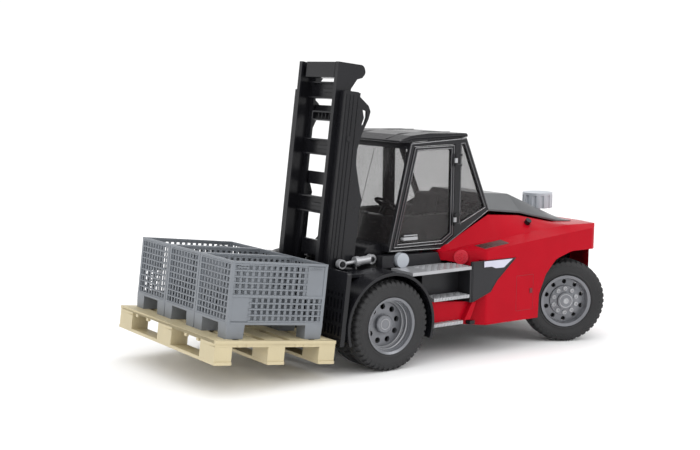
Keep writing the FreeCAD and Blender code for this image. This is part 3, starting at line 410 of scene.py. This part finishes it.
def studio():
    """A white room: an even pale floor, one broad light and three soft boxes for glints."""
    scene = bpy.context.scene
    scene.view_settings.view_transform = "Standard"
    world = bpy.data.worlds.new("studio")
    world.use_nodes = True
    sky(world)
    scene.world = world
    sun((0.30, 0.05, 1.0), 110, 2.0)
    area_light("side_box", (1.1, 0.75, 0.75), (0, 0.05, 0.1), (0.5, 0.4), 3.2)
    area_light("front_box", (0.2, -1.2, 0.55), (0, 0, 0.12), (0.6, 0.3), 2.2)
    area_light("top_strip", (-0.25, 0.2, 0.9), (0, 0, 0.15), (0.2, 0.9), 2.0)

    mesh = bmesh.new()
    bmesh.ops.create_grid(mesh, x_segments=1, y_segments=1, size=15)
    data = bpy.data.meshes.new("floor")
    mesh.to_mesh(data)
    mesh.free()
    floor = bpy.data.objects.new("floor", data)
    scene.collection.objects.link(floor)
    material = node_material("floor_paint", (0.93, 0.93, 0.93), 0.85, drift=0.005, bump=0.0,
                             specular=0.1)
    data.materials.append(material)


# ---- wheels ----------------------------------------------------------------------------

def tyre_mesh(mesh, low, high, lugs, depth):
    """A tyre whose shoulders are notched between lugs; the tread's middle is grooved."""
    inner, outer = 20.95, 35.0
    wide = high - low
    centre = (low + high) / 2
    # Half outline from the middle of the tread to the bead: (share of half width, radius, drop).
    half = [(0.0, outer - 0.9, 0), (0.06, outer - 0.9, 0), (0.08, outer, 0), (0.40, outer, 0),
            (0.46, outer, 0.8), (0.78, outer - 0.5, 1.0), (0.92, outer - 1.6, 1.0),
            (0.985, outer - 3.8, 0.7), (1.0, outer - 5.4, 0), (0.985, outer - 5.8, 0),
            (1.0, outer - 6.8, 0), (0.985, inner + 6.4, 0), (0.94, inner + 3.4, 0),
            (0.965, inner + 2.9, 0), (0.93, inner + 2.0, 0), (0.84, inner + 0.6, 0),
            (0.74, inner, 0)]
    outline = [(centre - s * wide / 2, r, d) for s, r, d in reversed(half)]
    outline += [(centre + s * wide / 2, r, d) for s, r, d in half[1:]]
    # Round each lug: out of the gap, along the top, into the gap; the gap takes the rest.
    shares = ((0.0, 1.0), (0.07, 0.0), (0.62, 0.0), (0.69, 1.0))
    rings = []
    for k in range(lugs):
        for share, sunk in shares:
            ring = []
            for x, radius, drop in outline:
                half_step = 0.5 if drop and x > centre else 0.0
                angle = 2 * math.pi * (k + share + half_step) / lugs
                r = radius - depth * drop * sunk
                ring.append(mesh.verts.new((x, r * math.cos(angle), r * math.sin(angle))))
            rings.append(ring)
    count = len(outline)
    for k, here in enumerate(rings):
        there = rings[(k + 1) % len(rings)]
        for i in range(count):
            j = (i + 1) % count
            mesh.faces.new((here[i], here[j], there[j], there[i]))


def wheel_place(side, front):
    """From a wheel's own frame, +X outwards in mm, to the row frame."""
    joint = JOINTS[f"{'front' if front else 'rear'}_wheel_{side}_spin"]
    axis = Vector(joint["axis"])
    sign = 1 if side == "left" else -1
    outward = axis if axis.x * sign > 0 else -axis
    origin = Vector(joint["pos_m"])
    if front:
        origin = Vector((0, AXLE_Y, WHEEL_R))
    turn = Vector((1, 0, 0)).rotation_difference(outward).to_matrix().to_4x4()
    return Matrix.Translation(origin) @ turn @ Matrix.Scale(MM, 4)


def front_wheel(side):
    """Two lugged tyres side by side, and the rings pressed into the rim."""
    place = wheel_place(side, True)
    mesh = bmesh.new()
    for low, high in ((41.5, 59.1), (60.5, 78.1)):
        tyre_mesh(mesh, low, high, 44, 1.1)
    bmesh.ops.recalc_face_normals(mesh, faces=mesh.faces[:])
    tyres = piece(f"front_tyres_lugged_{side}", mesh, place, f"front_wheel_{side}", "tyre")
    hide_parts(f"front_tyres_{side}")

    mesh = bmesh.new()
    for radius, depth in ((18.9, 70.4), (18.2, 68.2), (17.7, 66.6)):
        lathe(mesh, [(depth, radius), (depth + 0.8, radius - 0.5), (depth + 1.5, radius)], 72)
    lathe(mesh, [(69.0, 4.4), (69.4, 4.2), (69.4, 3.8), (69.0, 3.6)], 40)
    bmesh.ops.recalc_face_normals(mesh, faces=mesh.faces[:])
    piece(f"front_rim_rings_{side}", mesh, place, f"front_wheel_{side}", "silver_plastic")


def rear_wheel(side):
    """One lugged tyre, the nuts and cap of its wheel, and the drum behind its holes."""
    place = wheel_place(side, False)
    mesh = bmesh.new()
    tyre_mesh(mesh, -7, 15, 44, 0.7)
    bmesh.ops.recalc_face_normals(mesh, faces=mesh.faces[:])
    tyre = piece(f"rear_tyre_lugged_{side}", mesh, place, f"rear_wheel_{side}", "tyre")
    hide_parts(f"rear_tyre_{side}")

    mesh = bmesh.new()
    ring_nut = [(10.4, 1.9), (12.0, 1.9), (12.3, 1.6), (12.3, 1.05), (11.4, 0.9), (11.4, ON_AXIS),
                (10.4, ON_AXIS)]
    for k in range(10):
        angle = 2 * math.pi * (k + 0.5) / 10
        spot = Matrix.Translation((0, 10.2 * math.cos(angle), 10.2 * math.sin(angle)))
        lathe(mesh, ring_nut, 16, spot)
    lathe(mesh, [(14.2, 2.6), (14.9, 2.3), (14.9, 1.5), (14.5, 1.1), (14.5, ON_AXIS), (14.0, ON_AXIS),
                 (14.0, 2.6)], 24)
    lathe(mesh, [(14.0, 5.9), (14.5, 5.7), (14.5, 5.2), (14.0, 5.0)], 40)
    bmesh.ops.recalc_face_normals(mesh, faces=mesh.faces[:])
    piece(f"rear_wheel_nuts_{side}", mesh, place, f"rear_wheel_{side}", "silver_plastic")
    mesh = bmesh.new()
    lathe(mesh, [(4.2, 10), (4.8, 10), (4.8, 17.7), (4.2, 17.7)], 48)
    bmesh.ops.recalc_face_normals(mesh, faces=mesh.faces[:])
    piece(f"rear_drum_{side}", mesh, place, f"rear_wheel_{side}", "black_plastic")


def wheels():
    """All four wheels."""
    for side in ("left", "right"):
        front_wheel(side)
        rear_wheel(side)


# ---- the mesh boxes and pallet ---------------------------------------------------------

BOX_WIDE, BOX_LONG, BOX_FLOOR, BOX_TOP = 47.2, 81.1, 27.75, 72.65
BOX_FRONT = -90.9
BOX_BACK = BOX_FRONT + BOX_LONG
PALLET_TOP = 17.25
POST, RIM = 2.6, 1.7


def long_side(mesh, x, sign):
    """One long wall: bright proud wires over thin uprights, a mid bar and two plain plates."""
    skin = x + sign * (BOX_WIDE / 2 - 1.1)
    through = Vector((-0.7 * sign, 0, 0))
    start, stop = BOX_FRONT + POST, BOX_BACK - POST
    low, high = BOX_FLOOR + RIM, BOX_TOP - RIM
    mid = low + (high - low) * 4 / 9
    along_y, upward = Vector((0, 1, 0)), Vector((0, 0, 1))
    columns = windows(start, stop, 15, 2.2)
    plate_wide = 14.2
    for low_z, high_z, count, plate_low in ((mid, high, 5, sign < 0), (low, mid, 4, sign > 0)):
        plate_from = start if plate_low else stop - plate_wide
        plate_to = plate_from + plate_wide
        rows = windows(low_z, high_z, count, 1.15)
        kept = [(a, b, w and not (b > plate_from and a < plate_to)) for a, b, w in columns]
        pierced_plate(mesh, Vector((skin, 0, 0)), along_y, upward, through, kept, rows)
        open_from, open_to = (plate_to, stop) if plate_low else (start, plate_from)
        for a, b, is_window in rows:
            if not is_window:
                block(mesh, skin - 0.1 * sign, skin + 0.95 * sign, open_from, open_to,
                      a + 0.05, b - 0.1)
        block(mesh, skin, skin + 0.55 * sign, plate_from, plate_to, low_z + 0.4, high_z - 0.4)
    block(mesh, skin - 0.2 * sign, skin + 1.15 * sign, start, stop, mid - 0.6, mid + 1.0)
    for tag_from in (start + 1.5, stop - 12.5):
        block(mesh, skin, skin + 1.1 * sign, tag_from, tag_from + 10, high - 2.9, high - 2.2)
        block(mesh, skin, skin + 1.1 * sign, tag_from + 3, tag_from + 10, high - 1.6, high - 1.0)


def short_side(mesh, x, sign):
    """One short wall: proud wires over thin uprights."""
    face = BOX_FRONT + 1.1 if sign < 0 else BOX_BACK - 1.1
    start, stop = x - BOX_WIDE / 2 + POST, x + BOX_WIDE / 2 - POST
    rows = windows(BOX_FLOOR + RIM, BOX_TOP - RIM, 9, 1.1)
    pierced_plate(mesh, Vector((0, face, 0)), Vector((1, 0, 0)), Vector((0, 0, 1)),
                  Vector((0, -0.7 * sign, 0)), windows(start, stop, 9, 1.7), rows)
    for a, b, is_window in rows:
        if not is_window:
            block(mesh, start, stop, face - 0.1 * sign, face + 0.9 * sign, a + 0.05, b - 0.1)


def mesh_box(number):
    """Lattice walls, a mesh floor, corner posts, flat rims and four feet."""
    x = (number - 2) * 47.6
    half = BOX_WIDE / 2
    mesh = bmesh.new()
    for sign in (1, -1):
        long_side(mesh, x, sign)
        short_side(mesh, x, sign)
    pierced_plate(mesh, Vector((0, 0, BOX_FLOOR)), Vector((1, 0, 0)), Vector((0, 1, 0)),
                  Vector((0, 0, 1.4)), windows(x - half + 1, x + half - 1, 9, 1.6),
                  windows(BOX_FRONT + 1, BOX_BACK - 1, 15, 1.6))
    for z0, z1 in ((BOX_TOP - RIM, BOX_TOP), (BOX_FLOOR - 0.2, BOX_FLOOR + RIM)):
        block(mesh, x - half, x + half, BOX_FRONT, BOX_FRONT + 2, z0, z1)
        block(mesh, x - half, x + half, BOX_BACK - 2, BOX_BACK, z0, z1)
        block(mesh, x - half, x - half + 2, BOX_FRONT + 2, BOX_BACK - 2, z0, z1)
        block(mesh, x + half - 2, x + half, BOX_FRONT + 2, BOX_BACK - 2, z0, z1)
    for px in (x - half + 0.1, x + half - POST - 0.1):
        for py in (BOX_FRONT + 0.1, BOX_BACK - POST - 0.1):
            block(mesh, px, px + POST, py, py + POST, BOX_FLOOR, BOX_TOP - 0.3)
    for px in (x - half, x + half - 12):
        for py in (BOX_FRONT, BOX_BACK - 15):
            foot(mesh, px, px + 12, py, py + 15, PALLET_TOP, BOX_FLOOR)
    bmesh.ops.recalc_face_normals(mesh, faces=mesh.faces[:])
    box = piece(f"mesh_box_lattice_{number}", mesh, MAST_FRAME, f"mesh_box_{number}", "box_plastic",
                bevel=0.14, segments=1)
    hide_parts(f"mesh_box_{number}")


def foot(mesh, x0, x1, y0, y1, z0, z1):
    """A hollow leg, a little narrower at the bottom."""
    centre = Vector(((x0 + x1) / 2, (y0 + y1) / 2, (z0 + z1) / 2))
    place = Matrix.Translation(centre) @ Matrix.Diagonal((x1 - x0, y1 - y0, z1 - z0, 1))
    made = bmesh.ops.create_cube(mesh, size=1, matrix=place)
    for vertex in made["verts"]:
        if vertex.co.z < centre.z:
            vertex.co.x = centre.x + (vertex.co.x - centre.x) * 0.93
            vertex.co.y = centre.y + (vertex.co.y - centre.y) * 0.94


def pallet_details():
    """Nail heads on the deck and small clips under its edges."""
    mesh = bmesh.new()
    boards, board_wide, long = 5, 15.6, 101.2
    gap = (long - boards * board_wide) / (boards - 1)
    for k in range(boards):
        y = -long + k * (board_wide + gap)
        for x in (-66, 0, 66):
            for dx, dy in ((-5, 4), (5, 4), (-5, 11.6), (5, 11.6)):
                nail = Vector((x + dx, y + dy, PALLET_TOP))
                bar(mesh, 0.7, nail - Vector((0, 0, 0.1)), nail + Vector((0, 0, 0.18)), 10)
    for sign in (1, -1):
        for y in (-83, -76, -35, -28):
            block(mesh, sign * 74.6, sign * 76.6, y, y + 3.4, 12.6, 15.1)
    for x in (-50, -32, 30, 48):
        block(mesh, x, x + 3.4, -100.8, -98.8, 12.6, 15.1)
    piece("pallet_nails", mesh, MAST_FRAME, "pallet", "pallet_plastic", bevel=0.1, segments=1)


# ---- mast ------------------------------------------------------------------------------

INNER_BARS = ((195.8, 209), (151.4, 164.2), (106, 119), (20, 34))
OUTER_BARS = ((181.5, 191), (128, 138), (72, 84))
SLEEVE_X = 41


def mast_details():
    """Flanges and blocks on the crossbars, ribs and screws on the rails, sleeves on the rods."""
    mesh = bmesh.new()
    for low, high in INNER_BARS:
        for z in (low, high - 1.3):
            block(mesh, -20, 20, 16.5, 21.2, z, z + 1.3)
        block(mesh, -4, 16, 19.4, 21.2, (low + high) / 2 - 1.4, (low + high) / 2 + 1.4)
    block(mesh, -9, 20, 14.5, 23, 184.6, 186)
    block(mesh, -9, 20, 14.5, 23, 178.4, 179.6)
    block(mesh, -9, -7.6, 14.5, 23, 178.4, 186)
    for x in (-4, 1, 6, 11, 16):
        block(mesh, x, x + 1, 17, 20, 179.6, 184.6)
    for side in (1, -1):
        for z in (60, 128, 172):
            bar(mesh, 1.3, (side * 23.7, 12, z), (side * 26.4, 12, z), 16)
    bmesh.ops.recalc_face_normals(mesh, faces=mesh.faces[:])
    piece("inner_mast_ribs", mesh, MAST_FRAME, "inner_mast", "black_plastic", bevel=0.25)

    mesh = bmesh.new()
    for sign in (1, -1):
        for r in (15.2, 18.4, 21.6, 25.8):
            block(mesh, sign * 35.9, sign * 36.5, r - 0.3, r + 0.3, 24, 200)
        bar(mesh, 2.2, (sign * 36, 20.5, 166), (sign * 37, 20.5, 166), 24)
        block(mesh, sign * 28.2, sign * 34, 14.2, 27.3, 199.6, 202.6)
    for low, high in OUTER_BARS:
        for z in (low, high - 1.2):
            block(mesh, -27.9, 27.9, 27.3, 30.3, z, z + 1.2)
    bmesh.ops.recalc_face_normals(mesh, faces=mesh.faces[:])
    piece("outer_mast_ribs", mesh, MAST_FRAME, "outer_mast", "black_plastic", bevel=0.2)
    for side, sign in (("left", 1), ("right", -1)):
        mesh = bmesh.new()
        bar(mesh, 1.9, (sign * SLEEVE_X, 24, 66.8), (sign * SLEEVE_X, 34, 66.2), 20)
        turn = Matrix.Rotation(math.pi / 2, 4, "Z")
        collar = Matrix.Translation((sign * SLEEVE_X, 33.6, 66.2)) @ turn
        lathe(mesh, [(0, ON_AXIS), (0, 4.6), (1.4, 4.6), (1.4, ON_AXIS)], 28, collar)
        bmesh.ops.recalc_face_normals(mesh, faces=mesh.faces[:])
        piece(f"rod_sleeve_{side}", mesh, MAST_FRAME, f"rod_{side}", "black_plastic", bevel=0.2)


# ---- body ------------------------------------------------------------------------------

ROW_PITCH, COLUMN_PITCH, EDGE_PITCH = 3.4, 3.1, 3.0
TREADS = ((54, 76, 36, 77, 74.2), (62.5, 75, 43, 77, 51.6), (62.5, 74, 43, 71.5, 31))


def tread_ribs(mesh, x0, x1, y0, y1, z):
    """Short raised bars in a herringbone on a step."""
    rows = int((x1 - x0) / ROW_PITCH)
    columns = int((y1 - y0) / COLUMN_PITCH)
    for i in range(rows):
        for k in range(columns):
            lean = math.radians(38 if (i + k) % 2 else -38)
            x = x0 + (i + 0.5) * (x1 - x0) / rows
            y = y0 + (k + 0.5) * (y1 - y0) / columns
            block(mesh, x - 1.5, x + 1.5, y - 0.35, y + 0.35, z - 0.1, z + 0.45,
                  Matrix.Rotation(lean, 4, "Z"))


def edge_ribs(mesh, x, y0, y1, z0, z1, sign):
    """Slanting ribs on a step's outer edge."""
    count = int((y1 - y0) / EDGE_PITCH)
    for k in range(count):
        y = y0 + (k + 0.5) * (y1 - y0) / count
        block(mesh, x - 0.1 * sign, x + 0.35 * sign, y - 0.4, y + 0.4, z0 + 0.1, z1 - 0.1,
              Matrix.Rotation(math.radians(-28), 4, "X"))


def steps():
    """Ribs on the treads and outer edges of the steps on both sides."""
    for side, sign in (("left", 1), ("right", -1)):
        mesh = bmesh.new()
        for x0, x1, y0, y1, z in TREADS:
            low, high = sorted((sign * x0, sign * x1))
            tread_ribs(mesh, low, high, y0, y1, z)
        edge_ribs(mesh, sign * 76, 43, 77, 49, 51.6, sign)
        edge_ribs(mesh, sign * 75, 43, 72, 28.4, 31, sign)
        piece(f"tread_ribs_{side}", mesh, AXLE_FRAME, "chassis", "silver_plastic",
              bevel=0.08, segments=1)


def ridge(mesh, x, corners, radius):
    """A thin raised line round (y, z) corners on the plane at x."""
    count = len(corners)
    for i in range(count):
        bar(mesh, radius, (x, *corners[i]), (x, *corners[(i + 1) % count]), 8)


def inset(corners, distance):
    """Move every side of a convex (y, z) outline towards its middle."""
    centre = sum((Vector(c) for c in corners), Vector((0, 0))) / len(corners)
    sides = []
    for i, corner in enumerate(corners):
        start, stop = Vector(corner), Vector(corners[(i + 1) % len(corners)])
        across = Vector((-(stop - start).y, (stop - start).x)).normalized()
        if across.dot(centre - start) < 0:
            across = -across
        sides.append((start + across * distance, stop - start))
    moved = []
    for i, (point, along) in enumerate(sides):
        before, before_along = sides[i - 1]
        cross = before_along.x * along.y - before_along.y * along.x
        gap = point - before
        reach = (gap.x * along.y - gap.y * along.x) / cross
        moved.append(tuple(before + before_along * reach))
    return moved


HATCH = [(128, 33), (146.5, 33), (146.5, 62), (128, 62)]
DARK_PANEL = [(81.2, 45.4), (99.6, 51.9), (106.5, 60.7), (125.6, 77), (81.2, 77)]


def flank_details():
    """The service hatch's outline, its latch and the dark panel's raised edge."""
    for side, sign in (("left", 1), ("right", -1)):
        mesh = bmesh.new()
        ridge(mesh, sign * 75.96, HATCH, 0.14)
        block(mesh, sign * 75.8, sign * 76.35, 142.6, 145.4, 46.6, 50.6)
        piece(f"hatch_line_{side}", mesh, AXLE_FRAME, "chassis", "red_plastic", look="seam")

        mesh = bmesh.new()
        ridge(mesh, sign * 76.3, DARK_PANEL, 0.3)
        piece(f"panel_edge_{side}", mesh, AXLE_FRAME, "chassis", "dark_plastic")


def nose_details():
    """A knobbly face on each red cap, and bars over the shelf's vents."""
    for side, sign in (("left", 1), ("right", -1)):
        mesh = bmesh.new()
        out = Vector((sign, -1, 0)).normalized()
        across = Vector((0, 0, 1)).cross(out)
        centre = Vector((sign * 63.3, 78.92, 79.6))
        bar(mesh, 6.0, centre - out * 1.6, centre, 32, 5.6)
        for ring, count in ((0.0, 1), (1.7, 6), (3.4, 12)):
            for k in range(count):
                angle = 2 * math.pi * k / count
                upward = Vector((0, 0, ring * math.sin(angle)))
                spot = centre + across * ring * math.cos(angle) + upward
                bar(mesh, 0.75, spot - out * 0.1, spot + out * 0.4, 8, 0.35)
        piece(f"cap_knurls_{side}", mesh, AXLE_FRAME, "chassis", "red_plastic", look="cap_plastic")

        mesh = bmesh.new()
        for k in range(8):
            for i in range(4):
                y, x = 99.8 + k * 3.1, 59.6 + i * 2.9 + k * 0.1
                z = 87.35 + (y - 99.8) * 0.093 - (x - 59.6) * 0.078
                lean = Matrix.Rotation(math.radians(40 if (i + k) % 2 else -40), 4, "Z")
                block(mesh, sign * (x - 1.2), sign * (x + 1.2), y - 0.3, y + 0.3,
                      z - 0.5, z + 0.2, lean)
        piece(f"vent_bars_{side}", mesh, AXLE_FRAME, "chassis", "black_plastic")


# ---- cab -------------------------------------------------------------------------------

CAB_SIDE = [(19.4, 86), (40, 171), (97, 174), (123, 113.4), (73, 84.6)]
DOOR = [(23.6, 88.4), (44, 167.6), (84.6, 168.6), (84.6, 95.5), (73.4, 88.4)]
DOOR_WINDOW = [(28.2, 92), (46.8, 164.4), (81, 165.2), (81, 97.4), (72, 92)]
QUARTER = [(92, 105.5), (92, 168.5), (94.6, 168.6), (117, 116.5)]
CAB_FACE = 46.05
HINGE = (47.6, 84.85)
ROOF_SEAM = ((32, 173.7), (44, 176.9), (70, 178), (97, 177.4))
ROOF_RIM = ((30, 172), (44, 174.6), (98, 175.8))
CONSOLE = ((34, 86.4), (34, 104), (44, 112), (104, 112), (112, 106), (76, 86.4))


def cab_trim():
    """Raised edges on the cab's frame and doors, seals round the panes and silver fittings; the edges and hinge
    plates carry a painted highlight in a lighter black.
    """
    for side, sign in (("left", 1), ("right", -1)):
        face = sign * CAB_FACE
        mesh = bmesh.new()
        ridge(mesh, face, inset(CAB_SIDE, 0.7), 0.5)
        ridge(mesh, face, inset(QUARTER, -1.0), 0.4)
        piece(f"cab_edges_{side}", mesh, AXLE_FRAME, "chassis", "black_plastic", look="painted_highlight_plastic")

        mesh = bmesh.new()
        ridge(mesh, face, inset(DOOR, 0.7), 0.45)
        ridge(mesh, face, inset(DOOR_WINDOW, -0.6), 0.45)
        piece(f"door_edges_{side}", mesh, AXLE_FRAME, f"door_{side}", "black_plastic",
              look="painted_highlight_plastic")

        mesh = bmesh.new()
        for low in (106.2, 154.2):
            lathe_upright(mesh, (sign * HINGE[0], HINGE[1]), 1.45, 1.2, low, low + 3.6)
        for y in (32.2, 45.2):
            bar(mesh, 1.1, (sign * 45.9, y, 95.9), (sign * 48.6, y, 95.9), 12)
        bar(mesh, 0.5, (sign * 48.8, 32.4, 98.4), (sign * 48.8, 45.4, 98.4), 10)
        piece(f"door_fittings_{side}", mesh, AXLE_FRAME, f"door_{side}", "silver_plastic")

        mesh = bmesh.new()
        for z in (104, 112.2, 152, 160.2):
            block(mesh, sign * 46, sign * 46.7, 87, 92.4, z - 0.9, z + 0.9)
        piece(f"hinge_plates_{side}", mesh, AXLE_FRAME, "chassis", "black_plastic",
              look="painted_highlight_plastic", bevel=0.15)


def lathe_upright(mesh, centre, outer, inner, low, high):
    """A thin sleeve about an upright axis."""
    place = Matrix.Translation((centre[0], centre[1], low)) @ Matrix.Rotation(-math.pi / 2, 4, "Y")
    long = high - low
    lathe(mesh, [(0, inner), (0, outer), (long, outer), (long, inner)], 24, place)


def roof_details():
    """Two long seams, a front lip and a rim round the roof."""
    mesh = bmesh.new()
    for x in (-24, 24):
        for start, stop in zip(ROOF_SEAM, ROOF_SEAM[1:]):
            bar(mesh, 0.5, (x, *start), (x, *stop), 8)
    for sign in (1, -1):
        for start, stop in zip(ROOF_RIM, ROOF_RIM[1:]):
            bar(mesh, 0.9, (sign * 44, *start), (sign * 44, *stop), 10)
    bar(mesh, 0.7, (-44, 30.2, 172), (44, 30.2, 172), 10)
    piece("roof_seams", mesh, AXLE_FRAME, "chassis", "black_plastic")


def cab_inside():
    """Louvres on the rear wall, switches and levers, a seam on the windscreen, two consoles."""
    mesh = bmesh.new()
    for k in range(7):
        block(mesh, -20, 20, 115.8, 117.2, 94 + 2.6 * k, 95.2 + 2.6 * k)
    for k in range(5):
        block(mesh, -20 + 5 * k, -17.6 + 5 * k, 27.8, 31, 111.8, 113.4)
    for x in (14, 18, 22):
        bar(mesh, 0.6, (x, 40, 96), (x, 44, 106), 8)
        bar(mesh, 1.2, (x, 43.8, 105.4), (x, 44.6, 107.6), 12, 0.8)
    bar(mesh, 0.2, (-6, 22.4, 94), (-2, 39.6, 164), 6)
    piece("cab_fittings", mesh, AXLE_FRAME, "chassis", "black_plastic", bevel=0.12, segments=1)

    mesh = bmesh.new()
    for sign in (1, -1):
        inner = [mesh.verts.new((sign * 30, y, z)) for y, z in CONSOLE]
        outer = [mesh.verts.new((sign * 40, y, z)) for y, z in CONSOLE]
        mesh.faces.new(inner)
        mesh.faces.new(outer)
        for i in range(len(CONSOLE)):
            j = (i + 1) % len(CONSOLE)
            mesh.faces.new((inner[i], inner[j], outer[j], outer[i]))
        for k in range(6):
            block(mesh, sign * 33, sign * 36, 52 + 4.4 * k, 54.6 + 4.4 * k, 111.6, 112.9)
    bmesh.ops.recalc_face_normals(mesh, faces=mesh.faces[:])
    piece("cab_consoles", mesh, AXLE_FRAME, "chassis", "black_plastic", look="seat_fabric", bevel=0.3)


def cushion(mesh, place, wide, long, thick, channels):
    """A crowned pad on its own axes, with sewn channels running along it."""
    across, down = 16, 16
    top, base = [], []
    for i in range(across + 1):
        u = 2 * i / across - 1
        top_row, base_row = [], []
        for j in range(down + 1):
            w = 2 * j / down - 1
            pull = 1 - 0.05 * (w * w) * abs(u) - 0.03 * abs(u)
            crown = (1 - abs(u) ** 5) * (1 - abs(w) ** 5)
            sewn = 0.12 * abs(math.sin(math.pi * channels * (u + 1) / 2)) ** 0.5
            height = thick * crown * (0.86 + sewn)
            x, y = u * wide / 2 * pull, w * long / 2 * pull
            top_row.append(mesh.verts.new(place @ Vector((x, y, height))))
            base_row.append(mesh.verts.new(place @ Vector((x, y, 0))))
        top.append(top_row)
        base.append(base_row)
    for i in range(across):
        for j in range(down):
            mesh.faces.new((top[i][j], top[i + 1][j], top[i + 1][j + 1], top[i][j + 1]))
            mesh.faces.new((base[i][j], base[i][j + 1], base[i + 1][j + 1], base[i + 1][j]))
    bmesh.ops.remove_doubles(mesh, verts=mesh.verts[:], dist=1e-4)


def seat():
    """A padded seat in the space of the plain one: base, cushion and low backrest."""
    mesh = bmesh.new()
    lean = Matrix.Rotation(math.radians(76), 4, "X")
    cushion(mesh, Matrix.Translation((0, 75, 98.4)), 31, 33, 7.4, 4)
    cushion(mesh, Matrix.Translation((0, 92, 115.6)) @ lean, 29, 23, 6.6, 4)
    pads = piece("seat_pads", mesh, AXLE_FRAME, "chassis", "black_plastic", look="seat_fabric")
    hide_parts("seat")
    mesh = bmesh.new()
    block(mesh, -13, 13, 63, 89, 86.2, 98.6)
    block(mesh, -12, 12, 91.4, 93.6, 98, 122)
    piece("seat_base", mesh, AXLE_FRAME, "chassis", "black_plastic", bevel=0.8)


# ---- putting it together ---------------------------------------------------------------

def carried_over():
    """Give every CAD node that still shows its material and a small bevel."""
    slots = {entry["node"]: entry["material_slot"] for entry in frame["record"]["subparts"]}
    looks = {"hood": "hood_plastic", "front_rim_left": "rim_plastic", "front_rim_right": "rim_plastic",
             "rear_rim_left": "rim_plastic", "rear_rim_right": "rim_plastic"}
    for name, thing in NODES.items():
        paint(thing, slots[name], looks.get(name))
        big = name in ("body_shell", "hood", "cab_frame", "roof", "side_panels")
        width = 0.55 if big else 0.3
        if slots[name] in ("glazing", "steel"):
            width = 0.1
        finish_mesh(thing, bevel=width)


camera()
studio()
carried_over()
wheels()
for number in (1, 2, 3):
    mesh_box(number)
pallet_details()
mast_details()
steps()
flank_details()
nose_details()
cab_trim()
roof_details()
cab_inside()
seat()
